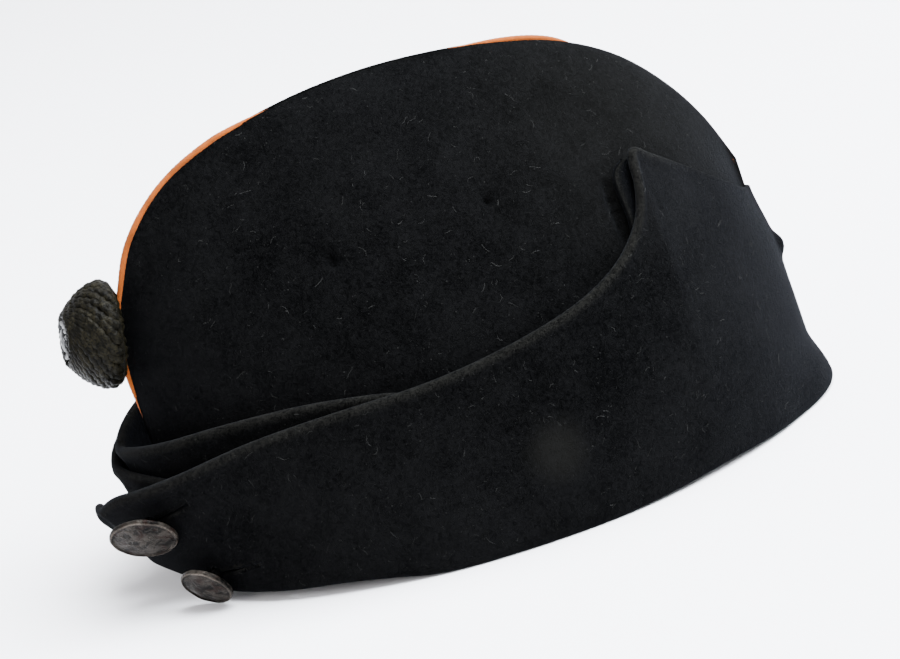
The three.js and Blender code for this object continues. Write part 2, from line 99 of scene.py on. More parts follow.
# Ridge: its place in the middle plane, how sharp it is, and how far the seam strays past its crest
RIDGE = table(
    ("angle", "y", "z", "sharp", "drift"),
    (-90, -102.6, 83.4, 1.5, 0),
    (-75, -95.4, 100.0, 1.7, 0),
    (-60, -82.0, 113.6, 1.9, 0),
    (-45, -63.0, 122.5, 1.9, 0),
    (-30, -41.0, 128.0, 1.8, 0),
    (-15, -18.0, 130.4, 1.7, 0),
    (0, 4.0, 130.0, 1.6, 0),
    (15, 24.8, 127.6, 1.5, 0),
    (30, 43.2, 122.8, 1.4, 3),
    (45, 59.4, 114.6, 1.3, 12),
    (60, 72.5, 102.8, 1.2, 13),
    (75, 83.4, 88.4, 1.15, 9),
    (90, 91.2, 73.0, 1.1, 0),
)
# Patch of painted light, where light falls on the crown's upper back: its middle, where its fading starts and
# ends, and its share
CROWN_PAINTED_LIGHT = {"angle": 50, "height": 100, "near": 5, "far": 85, "share": 0.13}
# Rise and fall of the rim
RIM_REACH = 30
RIM = table(
    ("angle", "rise"),
    (-90, 4.5),
    (-80, 4.2),
    (-72, 3),
    (-64, 1),
    (-52, 0.8),
    (-40, 1),
    (-32, 0),
    (-25, -1.6),
    (-18, -2),
    (-6, -2),
    (6, -2),
    (18, -1.2),
    (30, -0.4),
    (45, -1.2),
    (60, -2),
    (75, -2),
    (90, -2),
)
# Hollows pressed into the left side of the crown; the last five are the tuck beside the flap's corner.
DIMPLES = table(
    ("angle", "height", "depth", "radius"),
    (-30.8, 87.6, 2.2, 1.5),
    (-30.2, 85.8, 1.6, 1.6),
    (-29.4, 87.2, 1.1, 7.0),
    (-0.7, 91.6, 2.2, 1.3),
    (-0.8, 91.6, 0.8, 6.0),
    (-14.0, 86.0, 1.7, 14.0),
    (23.4, 71.0, 1.3, 1.6),
    (23.4, 74.5, 1.5, 1.7),
    (23.3, 78.0, 1.6, 1.7),
    (23.2, 81.5, 1.6, 1.7),
    (23.5, 85.0, 1.4, 1.7),
)

# Piping: rise is how far its middle stands over the ridge, or under it where the panels roll over the cord
PIPING_DIP = 42
PIPING_FULL = 68
PIPING_FOOT_RISE = -1.4
PIPING_RADIUS = 1.0
PIPING_RISE = table(
    ("y", "rise"),
    (-64, 0.4),
    (-55, -0.5),
    (-48, -1.2),
    (-40, -1.9),
    (-4, -1.9),
    (6, -1.4),
    (16, -0.7),
    (26, 0.1),
    (40, 0.2),
    (50, -1.4),
)
# Heights where its two ends go under the flaps
PIPING_FRONT_FOOT = 14
PIPING_BACK_FOOT = 6
# Its twisted surface
PIPING_LINE_STEPS = 200
PIPING_STEPS = 700
PIPING_SIDES = 14
PIPING_SWELL = 0.05
PIPING_SWELL_LENGTH = 12
PIPING_STRANDS = 3
PIPING_TWIST_PITCH = 2.4
PIPING_TWIST_DEPTH = 0.035

# Flaps: at each bottom angle the top edge lies at the top angle and height; low and high are the distances
# of the inner face from the crown at the rim and at the top edge.
FLAP_CLOTH = 2.5
FLAP_LIP = 0.9
FLAP_COLUMNS = 300
FLAP_ROWS = 64
FLAP_WAVE = 0.22
LEFT_FLAP_SEED = SEED + 3
RIGHT_FLAP_SEED = SEED + 5
BACK_GAP = 0.4
FLAP_FADE = {"angle": -1.5, "height": 23.1, "near": 5, "far": 15, "share": 0.24}
FLAP_COLUMN_NAMES = ("bottom", "top", "height", "low", "high")
FLAP_SHARED = (
    (-22, -22, 49.0, 3.4, 3.9),
    (-12, -12, 51.3, 2.2, 2.6),
    (0, 0, 55.0, 1.2, 1.8),
    (10, 10, 59.2, 0.8, 1.6),
    (18, 18, 64.4, 0.6, 1.8),
    (24, 23.6, 70.6, 0.5, 2.2),
    (27, 26.6, 76.2, 0.5, 2.9),
    (29, 28.4, 82.6, 0.5, 3.4),
    (31, 29.2, 88.0, 0.5, 3.4),
    (33.5, 30.6, 91.0, 0.5, 2.9),
    (37, 34.4, 88.8, 0.5, 2.0),
    (46, 46, 82.0, 0.6, 1.0),
    (60, 60, 73.0, 0.8, 1.0),
    (75, 75, 66.0, 1.4, 1.2),
    (90, 90, 63.5, 2.4, 1.3),
)
LEFT_FLAP = table(
    FLAP_COLUMN_NAMES,
    (-98, -95.5, 14.5, 9.0, 17.0),
    (-95, -94.0, 20.5, 9.0, 19.6),
    (-91, -90.6, 26.5, 8.6, 19.6),
    (-84, -84, 31.0, 7.4, 18.0),
    (-75, -75, 33.8, 6.5, 16.0),
    (-65, -65, 37.2, 6.3, 13.4),
    (-52, -52, 42.4, 6.3, 10.8),
    (-42, -42, 45.3, 5.2, 8.4),
    (-32, -32, 47.4, 4.2, 5.8),
    *FLAP_SHARED,
)
RIGHT_FLAP = table(
    FLAP_COLUMN_NAMES,
    (-128, -127, 27.0, 3.4, 6.0),
    (-124, -124, 30.0, 3.4, 6.6),
    (-115, -115, 32.0, 3.4, 7.8),
    (-105, -105, 34.5, 3.42, 9.2),
    (-95, -95, 36.0, 3.42, 10.4),
    (-85, -85, 37.5, 3.42, 10.9),
    (-75, -75, 39.0, 3.42, 10.4),
    (-65, -65, 40.5, 3.4, 9.2),
    (-52, -52, 43.2, 3.4, 7.6),
    (-42, -42, 45.4, 3.4, 6.2),
    (-32, -32, 47.4, 3.4, 4.8),
    *FLAP_SHARED,
)

# Inner ply that shows where the flap's corner gapes: its free edge and its hidden edge, both as angles,
# and how far the free edge stands off the crown.
PLY_CLOTH = 1.3
PLY_ROWS = 70
PLY_COLUMNS = 24
PLY_TUCK = 0.35
# The ply's wool is painted at half brightness: painted shade for the dark gap under the flap's corner
PLY_PAINTED_SHADE = 0.5
PLY_LIFT_REACH = 0.75
PLY_WEAR_WIDTH = 0.15
PLY = table(
    ("height", "free", "hidden", "lift"),
    (67.5, 24.0, 24.8, 0.7),
    (71.0, 24.4, 26.8, 1.3),
    (76.0, 24.6, 28.8, 1.7),
    (82.0, 24.4, 30.4, 2.0),
    (86.0, 24.7, 31.2, 2.1),
    (88.2, 25.9, 31.6, 2.0),
    (89.6, 28.2, 32.0, 1.8),
)

# Peak, folded up against the crown behind the flaps
PEAK_CLOTH = 2.4
PEAK_LIP = 1.1
PEAK_CURL = 1.2
PEAK_COLUMNS = 200
PEAK_ROWS = 48
PEAK_WAVE = 0.15
PEAK_SEED = SEED + 7
PEAK_HALF = table(
    ("angle", "height", "low", "high"),
    (-90, 42.0, 0.5, 7.8),
    (-80, 43.0, 0.5, 7.7),
    (-70, 44.6, 0.5, 7.4),
    (-60, 46.8, 0.5, 6.4),
    (-50, 48.6, 0.5, 5.0),
    (-41, 49.6, 0.5, 3.2),
    (-32, 49.4, 0.5, 1.7),
    (-25, 48.2, 0.5, 0.7),
    (-22, 46.0, 0.5, 0.5),
)

# Doubled cloth of flaps and peak: its rows crowd towards the top, and it swells between two heights
WALL_CROWDING = 0.85
WALL_WAVE_LENGTH = 30
WALL_WAVE_START = 2
WALL_WAVE_FULL = 12

# Rolled edges of the doubled cloth, which lie flush with the crown towards the back
ROLL_STEPS = 8
ROLL_SWELL = 0.22
ROLL_WIDTH = 2.2
FLUSH_FROM = 33
FLUSH_TO = 50
FLUSH_SHARE = 0.78
FLUSH_START = 0.7
FLUSH_WEAR = 0.8
END_TURNS = (80, 60, 35, 12)
EDGE_WEAR_WIDTH = 0.9
ROLL_WEAR = 0.6
SEAM_LUMP = 2.2
SEAM_LUMP_TURN = 5
SEAM_LUMP_HEIGHT = 42.5
SEAM_LUMP_REACH = 3

# Buttons and buttonholes
SHANK_RADIUS = 1.3
SHANK_GAP = 0.7
SHANK_SIDES = 12
SHANK_STEPS = 6
SHANK_COIL_STEPS = 240
SHANK_THREAD = 1.1
EYE_RADIUS = 2.1
EYE_STEPS = 25
SLIT_WIDTH = 1.0
SLIT_LENGTH = 17
# Cut of a buttonhole: height step that finds the way up the cloth, depth in plies and its shares in and out
HOLE_STEP = 3
HOLE_PLIES = 4
HOLE_INWARD = 0.6
HOLE_OUTWARD = 0.4
# Stitches along its edges
STITCH_PITCH = 0.36
STITCH_REACH = 1.1
STITCH_RADIUS = 0.16
STITCH_SIDES = 6
STITCH_STEPS = 6
STITCH_SPREAD = (0.6, 1.25)
STITCH_LEAN = 0.4
STITCH_INSET = 0.15
STITCH_ARCH = 0.9
STITCH_LIFT = 0.1
BUTTONS = (
    {"name": "button_upper", "eye": (-75.6, 23.2), "slit": (-63.6, 30.4), "radius": 9.9,
     "facing": (0.70, -0.34, -0.63), "clear": 5.8},
    {"name": "button_lower", "eye": (-65.2, 5.6), "slit": (-55.2, 8.8), "radius": 7.8,
     "facing": (0.57, -0.62, -0.53), "clear": 5.0},
)
BUTTON_SEGMENTS = 96
BUTTON_FACE_STEPS = 22
BUTTON_FACE = 0.88
BUTTON_FACE_RISE = 1.5
BUTTON_DOME = 1.2
BUTTON_TOP = BUTTON_FACE_RISE + BUTTON_DOME
BUTTON_DENTS = 0.09
DENT_LENGTH = 3.5
# Rubbed rim of a button: share of its radius, width and least rise
RUB_REACH = 0.95
RUB_WIDTH = 0.035
RUB_RISE = 1.0
# Back and rolled edge of a button: share of its radius, and rise
BUTTON_EDGE = (
    (0.01, 0.0),
    (0.5, 0.0),
    (0.86, 0.0),
    (0.95, 0.15),
    (0.995, 0.5),
    (1.0, 0.9),
    (0.99, 1.3),
    (0.965, 1.65),
    (0.935, 1.8),
    (0.905, 1.72),
)

# Corded boss and its stud
BOSS_RADIUS = 16
BOSS_HEIGHT = 15.5
BOSS_EDGE = 4
BOSS_FLAT = 8
BOSS_RECESS = 6.4
BOSS_RECESS_DEPTH = 2.2
BOSS_ROUND = 2.2
BOSS_Z = 75
BOSS_SINK = -1.2
BOSS_TILT = 8
BOSS_BACK = 3.4
BOSS_TOP_TURN = 86
BOSS_SWIRL = 112
BOSS_CORD_STEPS = 64
BOSS_CORD_SIDES = 12
BOSS_CORD_HALF = (0.5, 2.0)
BOSS_CORD_SPREAD = (0.9, 1.02)
BOSS_CORD_SINK = 0.4
BOSS_CORE_SINK = 0.5
BOSS_CORE_SEGMENTS = 64
BOSS_RECESS_LIP = 0.6
BOSS_STRANDS = 2
BOSS_TWIST_PITCH = 5.2
BOSS_TWIST_DEPTH = 0.1
BOSS_WOBBLE = 0.08
BOSS_WOBBLE_WAVES = (9, 17)
# Underside of the cords and the pad behind them: share of the boss's radius, and rise
BOSS_UNDER = ((0.62, 2.4), (0.74, 1.7), (0.86, 1.9), (0.95, 2.8))
BOSS_PAD = ((0.004, BOSS_BACK), (0.7, 0.9), (0.9, 0.9), (0.945, 1.4), (0.92, 2.4))
STUD_RADIUS = 6.2
STUD_SEGMENTS = 72
STUD_DENTS = 0.12
STUD_DOME = 0.56
STUD_DOME_STEPS = 12
STUD_DOME_TURN = 1.5
STUD_DOME_RISE = 2.3
STUD_DOME_HEIGHT = 1.0
STUD_TOP = 3.32
STUD_WORN = (1.2, 3.5)
# Edge of the stud from the middle of its back: share of its radius, and rise
STUD_EDGE = (
    (0.01, 0.0),
    (0.86, 0.0),
    (0.97, 0.4),
    (1.0, 1.0),
    (0.97, 1.6),
    (0.91, 1.9),
    (0.68, 1.9),
    (0.62, 2.2),
)
BEAD_COUNT = 16
BEAD_RADIUS = 0.92
BEAD_TURN = 1.45
BEAD_STEPS = 9
BEAD_SEGMENTS = 14
BEAD_RING = 0.8
BEAD_RISE = 2.0
BEAD_WORN = (-0.2, 0.8)

# Stray fibres, none of which lies below LINT_FLOOR
LINT_FLOOR = 2
LINT_STEPS = 6
LINT_SIDES = 3
LINT_SHORTEST = 0.3
LINT_LENGTH_SPREAD = (0.1, 1.0)
LINT_LENGTH_POWER = 4
LINT_WIDTH_SPREAD = (0.6, 1.3)
LINT_BEND = 0.9
LINT_CURL = 1.2
LINT_LIFT = 0.06

# Fibre ends of the wool: three-sided spikes, with the turns of their root's corners
NAP_LENGTH_SPREAD = (0.35, 1.0)
NAP_STAND = 0.55
NAP_LEAN = (0.3, 1.4)
NAP_WIDTH = 0.035
NAP_SINK = 0.1
NAP_CLEAR = 0.05
NAP_TURNS = (0, 2.1, 4.2)
NAP_FACES = ((0, 1, 3), (1, 2, 3), (2, 0, 3), (2, 1, 0))

# Camera that took the view, in the cap's own frame
CAMERA_AZIMUTH = 75
CAMERA_ELEVATION = 17
CAMERA_ROLL = -12.4
CAMERA_DISTANCE = 900
CAMERA_LENS = 120.4
CAMERA_SENSOR = 36
CAMERA_TARGET = (0, 0, 55)
CAMERA_SLIDE_RIGHT = -5.98
CAMERA_SLIDE_UP = -10.0

# Stage, in metres
FLOOR_RADIUS = 9.0
FLOOR_SEGMENTS = 96
STUDIO_COLOUR = (0.93, 0.94, 0.97, 1)
STUDIO_STRENGTH = 1.6
LIGHT_TARGET = (0, 0, 0.06)
LIGHTS = (
    {"name": "top_box", "place": (0.15, 0.55, 1.6), "size": 1.8, "power": 190, "colour": (0.93, 0.96, 1)},
    {"name": "back_box", "place": (0.45, 1.0, 1.7), "size": 2.0, "power": 210, "colour": (0.86, 0.93, 1)},
    {"name": "front_box", "place": (0.9, -1.5, 0.8), "size": 0.8, "power": 11, "colour": (1, 0.97, 0.93)},
)

# Sockets of a Mix node that mixes colours
MIX_SHARE = 0
MIX_FIRST = 6
MIX_SECOND = 7
MIX_RESULT = 2


def unit(vectors):
    """Vectors scaled to length one."""
    return vectors / np.maximum(np.linalg.norm(vectors, axis=-1, keepdims=True), 1e-9)


def smoothstep(value, low, high):
    """Soft ramp from 0 at low to 1 at high."""
    t = np.clip((value - low) / (high - low), 0, 1)
    return t * t * (3 - 2 * t)


def read(rows, key, at, name):
    """Smooth reading of one column of a table whose key column rises; held at the ends."""
    keys, values = rows[key], rows[name]
    last = len(keys) - 1
    place = np.clip(at, keys[0], keys[-1])
    i = np.clip(np.searchsorted(keys, place, side="right") - 1, 0, last - 1)
    before, after = np.maximum(i - 1, 0), np.minimum(i + 2, last)
    span = keys[i + 1] - keys[i]
    t = (place - keys[i]) / span
    slope_start = (values[i + 1] - values[before]) / (keys[i + 1] - keys[before]) * span
    slope_end = (values[after] - values[i]) / (keys[after] - keys[i]) * span
    start = (2 * t**3 - 3 * t**2 + 1) * values[i] + (t**3 - 2 * t**2 + t) * slope_start
    return start + (3 * t**2 - 2 * t**3) * values[i + 1] + (t**3 - t**2) * slope_end


def waves(points, wavelength, seed):
    """Gentle random swell between about -1 and 1, as a sum of plane waves."""
    dice = np.random.default_rng(seed)
    total = np.zeros(points.shape[:-1])
    for _ in range(WAVE_COUNT):
        direction = unit(dice.normal(size=3))
        length = wavelength * dice.uniform(*WAVE_SPREAD)
        total += np.cos(points @ direction * 2 * math.pi / length + dice.uniform(0, 2 * math.pi))
    return total / math.sqrt(2 * WAVE_COUNT)


# Shape of the crown
def ridge(angle, inset=0.0):
    """Outer or inner line of the ridge in the middle plane: its y and z."""
    step = 1
    y = read(RIDGE, "angle", angle, "y")
    z = read(RIDGE, "angle", angle, "z")
    dy = read(RIDGE, "angle", angle + step, "y") - read(RIDGE, "angle", angle - step, "y")
    dz = read(RIDGE, "angle", angle + step, "z") - read(RIDGE, "angle", angle - step, "z")
    scale = inset * RIDGE_MITRE / np.hypot(dy, dz)
    return y + dz * scale, z - dy * scale


def drift(angle):
    """How far the seam strays past the crest to the wearer's right."""
    return np.maximum(read(RIDGE, "angle", angle, "drift"), 0)


def crown_point(angle, lift, inset=0.0):
    """Point of the crown on the wearer's left: lift is 0 at the rim, 90 at the crest and more beyond it."""
    s = np.sin(np.radians(angle))
    c = np.maximum(np.cos(np.radians(angle)), 0)
    power = np.where(s < 0, FRONT_POWER, BACK_POWER)
    rim_x = np.maximum(CROWN_HALF_WIDTH * c**power * (1 + EGG * s) - inset * c**0.5, 0)
    rim_y = (np.where(s < 0, CROWN_FRONT, CROWN_BACK) - inset) * s
    crest_y, crest_z = ridge(angle, inset)
    sharp = read(RIDGE, "angle", angle, "sharp")
    rise = np.sin(np.radians(lift))
    across = np.cos(np.radians(lift))
    bow = SEAM_BOW * np.maximum(-s, 0) ** SEAM_BOW_REACH * np.sin(math.pi * rise**2)
    lean = SIDE_LEAN_POWER + (BACK_LEAN_POWER - SIDE_LEAN_POWER) * smoothstep(s, BACK_LEAN_START, 1)
    z = crest_z * rise
    flare = BACK_FLARE * smoothstep(s, FLARE_START, 1) * (1 - smoothstep(z, 0, FLARE_REACH))
    x = rim_x * np.sign(across) * np.abs(across) ** sharp
    y = rim_y + (crest_y - rim_y) * rise**lean - bow + flare
    bend = read(RIM, "angle", angle, "rise") * (1 - smoothstep(z, 0, RIM_REACH))
    return np.stack(np.broadcast_arrays(x, y, z + bend), axis=-1)


def crown_at(angle, height):
    """Outer surface of the crown at an angle and height, on either side of the front seam."""
    angle, height = np.broadcast_arrays(np.asarray(angle, float), np.asarray(height, float))
    past = angle < -90
    own = np.where(past, -180 - angle, angle)
    lift = np.degrees(np.arcsin(np.clip(height / ridge(own)[1], 0, 1)))
    point = crown_point(own, lift)
    point[..., 0] *= np.where(past, -1, 1)
    return point


def crown_normal(angle, height):
    """Outward direction of the crown."""
    step = 0.6
    angle, height = np.broadcast_arrays(np.asarray(angle, float), np.asarray(height, float))
    along = crown_at(np.minimum(angle + step, 90), height) - crown_at(angle - step, height)
    along = np.where((angle > 90 - step)[..., None], np.array([-1.0, 0, 0]), along)
    up = crown_at(angle, height + step) - crown_at(angle, np.maximum(height - step, 0))
    return unit(np.cross(along, up))


def stand_off(angle, height, distance):
    """Place at a distance out from the crown."""
    return crown_at(angle, height) + crown_normal(angle, height) * np.asarray(distance)[..., None]


def grid_frame(grid):
    """Normal, lengthwise and upward directions at each point of a grid."""
    along = np.gradient(grid, axis=0)
    up = np.gradient(grid, axis=1)
    return unit(np.cross(along, up)), unit(along), unit(up)


def crown_grid(side, inset):
    """Outer or inner face of one half of the crown, from front seam to back seam and from rim to ridge."""
    angle = np.linspace(-90, 90, CROWN_COLUMNS + 1)[:, None]
    crest = 90 + side * drift(angle)
    point = crown_point(angle, np.linspace(0, 1, CROWN_ROWS + 1)[None, :] * crest, inset)
    seam = crown_point(angle, crest, inset)[..., 0]
    point[..., 0] = seam + np.hypot(point[..., 0] - seam, SEAM_GAP / 2)
    return point


def crown_faces(side, sizes):
    """Outer and inner faces of one half of the crown with their hollows, both on the wearer's left."""
    outer = crown_grid(side, 0)
    inner = crown_grid(side, CROWN_CLOTH)
    u = np.linspace(0, 1, CROWN_COLUMNS + 1)[:, None]
    v = np.linspace(0, 1, CROWN_ROWS + 1)[None, :]
    clear = np.minimum(smoothstep(u, 0, SEAM_STILL), smoothstep(1 - u, 0, SEAM_STILL))
    inside = clear * smoothstep(1 - v, 0, RIDGE_STILL)
    swell = CROWN_WAVE * waves(outer, CROWN_WAVE_LENGTH, SEED + side)
    press = swell * inside * smoothstep(v, *RIM_STILL)
    if side > 0:
        scale = sizes.dimple_depth / MM
        for angle, height, depth, radius in zip(*DIMPLES.values()):
            apart = np.linalg.norm(outer - crown_at(angle, height), axis=-1)
            press = press - scale * depth * np.exp(-((apart / radius) ** 2)) * inside
    normal = grid_frame(outer)[0]
    shift = normal * press[..., None]
    return outer + shift, inner + shift


# Cloth walls that stand off the crown
def flap_rows(rows):
    """Even steps along a flap's table, with more steps where its rows lie close."""
    last = len(rows["bottom"]) - 1
    bottom = np.interp(np.linspace(0, last, FLAP_COLUMNS + 1), np.arange(last + 1), rows["bottom"])
    return {name: read(rows, "bottom", bottom, name) for name in FLAP_COLUMN_NAMES}


def peak_rows():
    """Even steps round the peak, the same on both sides of the front seam."""
    end = PEAK_HALF["angle"][-1]
    angle = np.linspace(-180 - end, end, PEAK_COLUMNS + 1)
    own = np.where(angle < -90, -180 - angle, angle)
    rows = {name: read(PEAK_HALF, "angle", own, name) for name in ("height", "low", "high")}
    return {"bottom": angle, "top": angle, **rows}


def wall(rows, count, cloth, lip, curl, shift, wave, seed):
    """Middle grid of a doubled cloth wall, its half thickness with a roll at the top edge, and its wear."""
    half = cloth / 2
    each = {name: values[:, None] for name, values in rows.items()}
    flush = smoothstep(each["bottom"], FLUSH_FROM, FLUSH_TO)
    top = each["height"] + lip - half * (1 + ROLL_SWELL)
    v = np.linspace(0, 1, count + 1)[None, :] ** WALL_CROWDING
    height = half + (top - half) * v
    share = np.clip(height / each["height"], 0, 1)
    angle = each["bottom"] + (each["top"] - each["bottom"]) * share
    thick = half * (1 + ROLL_SWELL * (1 - flush) * np.exp(-(((top - height) / ROLL_WIDTH) ** 2)))
    thick = thick * (1 - FLUSH_SHARE * flush * smoothstep(share, FLUSH_START, 1))
    distance = each["low"] + (each["high"] - each["low"]) * share**curl + thick
    mid = stand_off(angle, height, distance)
    mid[..., 0] += shift
    turn = (angle - 90) / SEAM_LUMP_TURN
    rise = (height - SEAM_LUMP_HEIGHT) / SEAM_LUMP_REACH
    lump = np.exp(-(turn**2) - rise**2)
    swell = wave * waves(mid, WALL_WAVE_LENGTH, seed) * smoothstep(height, WALL_WAVE_START, WALL_WAVE_FULL)
    swell = swell + SEAM_LUMP * lump
    mid = mid + grid_frame(mid)[0] * swell[..., None]
    wear = ROLL_WEAR * np.exp(-(((top - height) / EDGE_WEAR_WIDTH) ** 2)) * (1 - FLUSH_WEAR * flush)
    return mid, thick, wear


def rounded_loops(mid, half, wear):
    """Closed loops with rolled edges round a sheet's middle grid, their wear and the sheet's outer face."""
    normal, along, up = grid_frame(mid)
    outward = np.cross(up, normal)
    turns = np.radians(np.array(END_TURNS))[:, None, None]
    begin = mid[0] - outward[0] * half[0][..., None] * np.sin(turns)
    end = (mid[-1] + outward[-1] * half[-1][..., None] * np.sin(turns))[::-1]
    copies = len(END_TURNS)
    narrow = np.cos(turns)[..., 0]
    mid = np.concatenate([begin, mid, end])
    half = np.concatenate([half[0] * narrow, half, (half[-1] * narrow)[::-1]])[..., None]
    worn = np.maximum(wear, 0)
    wear = np.concatenate([np.repeat(worn[:1], copies, 0), worn, np.repeat(worn[-1:], copies, 0)])
    wear[:copies] = 1
    normal = np.concatenate([np.repeat(normal[:1], copies, 0), normal, np.repeat(normal[-1:], copies, 0)])
    along = np.concatenate([np.repeat(along[:1], copies, 0), along, np.repeat(along[-1:], copies, 0)])
    rise = unit(np.cross(normal, along))
    turn = np.linspace(0, math.pi, ROLL_STEPS + 1)[1:-1][None, :, None]
    over = mid[:, -1:] + half[:, -1:] * (normal[:, -1:] * np.cos(turn) + rise[:, -1:] * np.sin(turn))
    under = mid[:, :1] - half[:, :1] * (normal[:, :1] * np.cos(turn) + rise[:, :1] * np.sin(turn))
    outer, inner = mid + normal * half, mid - normal * half
    loops = np.concatenate([outer, over, inner[:, ::-1], under], axis=1)
    loops[..., 2] = np.maximum(loops[..., 2], -CENTRE[2])
    edge = np.full(over.shape[:2], ROLL_WEAR)
    worn = np.concatenate([wear, edge, wear[:, ::-1], 0 * edge], axis=1)
    return loops, worn, outer


def flap_wall(rows, seed):
    """Rolled loops of one flap on the wearer's left, their wear and its outer face."""
    sheet = wall(flap_rows(rows), FLAP_ROWS, FLAP_CLOTH, FLAP_LIP, 1, BACK_GAP / 2, FLAP_WAVE, seed)
    return rounded_loops(*sheet)


def peak_wall():
    """Rolled loops of the peak, their wear and its outer face."""
    sheet = wall(peak_rows(), PEAK_ROWS, PEAK_CLOTH, PEAK_LIP, PEAK_CURL, 0, PEAK_WAVE, PEAK_SEED)
    return rounded_loops(*sheet)


def ply_wall():
    """Rolled loops of the inner ply at the flap's corner, on the wearer's left, and their wear."""
    height = np.linspace(PLY["height"][0], PLY["height"][-1], PLY_ROWS + 1)[::-1, None]
    free, hidden, lift = (read(PLY, "height", height, name) for name in ("free", "hidden", "lift"))
    across = np.linspace(0, 1, PLY_COLUMNS + 1)[None, :]
    half = PLY_CLOTH / 2
    distance = half + PLY_TUCK + (lift - PLY_TUCK) * (1 - smoothstep(across, 0.0, PLY_LIFT_REACH))
    mid = stand_off(free + (hidden - free) * across, np.broadcast_to(height, distance.shape), distance)
    wear = np.exp(-((across / PLY_WEAR_WIDTH) ** 2)) * np.ones(height.shape)
    return rounded_loops(mid, np.full(mid.shape[:2], half), wear)[:2]


def left_flap_distance(angle, height):
    """Distance of the left flap's inner face from the crown."""
    low, high, top = (read(LEFT_FLAP, "bottom", angle, name) for name in ("low", "high", "height"))
    return low + (high - low) * height / top


def left_flap_face(angle, height):
    """Outer face of the left flap."""
    return stand_off(angle, height, left_flap_distance(angle, height) + FLAP_CLOTH)


def mirrored(points):
    """Points on the other side of the middle plane."""
    return points * np.array([-1.0, 1.0, 1.0])


# Meshes
class Shape:
    """Points, faces and wear gathered for one mesh, in millimetres in the cap's own frame."""

    def __init__(self):
        self.points = []
        self.faces = []
        self.wear = []
        self.count = 0

    def add(self, points, faces, wear=None):
        """Adds a patch of points and faces."""
        points = np.asarray(points, float).reshape(-1, 3)
        self.faces.extend([tuple(int(i) + self.count for i in face) for face in faces])
        self.points.append(points)
        self.wear.append(np.zeros(len(points)) if wear is None else np.asarray(wear, float).reshape(-1))
        self.count += len(points)

    def loft(self, loops, wear=None):
        """Adds a closed solid through a row of closed loops, with flat ends."""
        rows, count = loops.shape[:2]
        index = np.arange(rows * count).reshape(rows, count)
        following = np.roll(index, -1, axis=1)
        quads = np.stack([index[:-1], following[:-1], following[1:], index[1:]], axis=-1).reshape(-1, 4)
        flat = loops.reshape(-1, 3)
        middle = flat.mean(0)
        a, b, c = (flat[quads[:, i]] - middle for i in range(3))
        if np.einsum("ij,ij->", a, np.cross(b, c)) < 0:
            quads = quads[:, ::-1]
            ends = [index[0], index[-1][::-1]]
        else:
            ends = [index[0][::-1], index[-1]]
        self.add(flat, quads.tolist() + [list(end) for end in ends], wear)

    def tube(self, path, radius, sides, lobes=0, depth=0.0, pitch=1.0, phase=0.0):
        """Adds a tube along a path; lobes of a twisted cord wind round it once in each pitch."""
        path = np.asarray(path, float)
        along = unit(np.gradient(path, axis=0))
        side = np.zeros_like(path)
        start = np.eye(3)[np.argmin(np.abs(along[0]))]
        for i, direction in enumerate(along):
            start = start - direction * (start @ direction)
            start = start / np.linalg.norm(start)
            side[i] = start
        over = np.cross(along, side)
        run = np.concatenate([[0], np.cumsum(np.linalg.norm(np.diff(path, axis=0), axis=1))])[:, None]
        turn = np.linspace(0, 2 * math.pi, sides, endpoint=False)[None, :]
        swell = 1 + depth * np.cos(lobes * (turn - 2 * math.pi * run / pitch - phase))
        reach = (np.broadcast_to(radius, len(path))[:, None] * swell)[..., None]
        ring = side[:, None] * np.cos(turn)[..., None] + over[:, None] * np.sin(turn)[..., None]
        self.loft(path[:, None] + ring * reach)

    def turned(self, profile, segments, axis, foot, ripple=0.0, seed=0):
        """Adds a solid of revolution: profile is (radius, rise) from the back centre to the front centre."""
        axis = unit(np.asarray(axis, float))
        side = unit(np.cross(axis, np.eye(3)[np.argmin(np.abs(axis))]))
        over = np.cross(axis, side)
        profile = np.asarray(profile, float)
        turn = np.linspace(0, 2 * math.pi, segments, endpoint=False)[None, :, None]
        ring = side * np.cos(turn) + over * np.sin(turn)
        loops = foot + ring * profile[:, 0][:, None, None] + axis * profile[:, 1][:, None, None]
        if ripple:
            dents = ripple * waves(loops, DENT_LENGTH, seed) * (profile[:, 1] > 0)[:, None]
            loops = loops + axis * dents[..., None]
        self.loft(loops)

    def build(self, name, material, slot, *nodes):
        """Makes the mesh object in the shared frame, riding on the cap and standing for its CAD nodes."""
        points = (np.concatenate(self.points) + np.array(CENTRE)) * MM
        mesh = bpy.data.meshes.new(name)
        mesh.from_pydata(points.tolist(), [], self.faces)
        mesh.attributes.new("wear", "FLOAT", "POINT").data.foreach_set("value", np.concatenate(self.wear))
        mesh.polygons.foreach_set("use_smooth", np.ones(len(mesh.polygons), bool))
        mesh.set_sharp_from_angle(angle=math.radians(SHARP_ANGLE))
        mesh.validate()
        piece = bpy.data.objects.new(name, mesh)
        bpy.context.scene.collection.objects.link(piece)
        mesh.materials.append(material)
        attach(piece, "root")
        if nodes:
            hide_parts(*nodes)
        return piece


def panel_loops(outer, inner):
    """Closed loops through an outer and an inner face of the same grid."""
    return np.concatenate([outer, inner[:, ::-1]], axis=1)


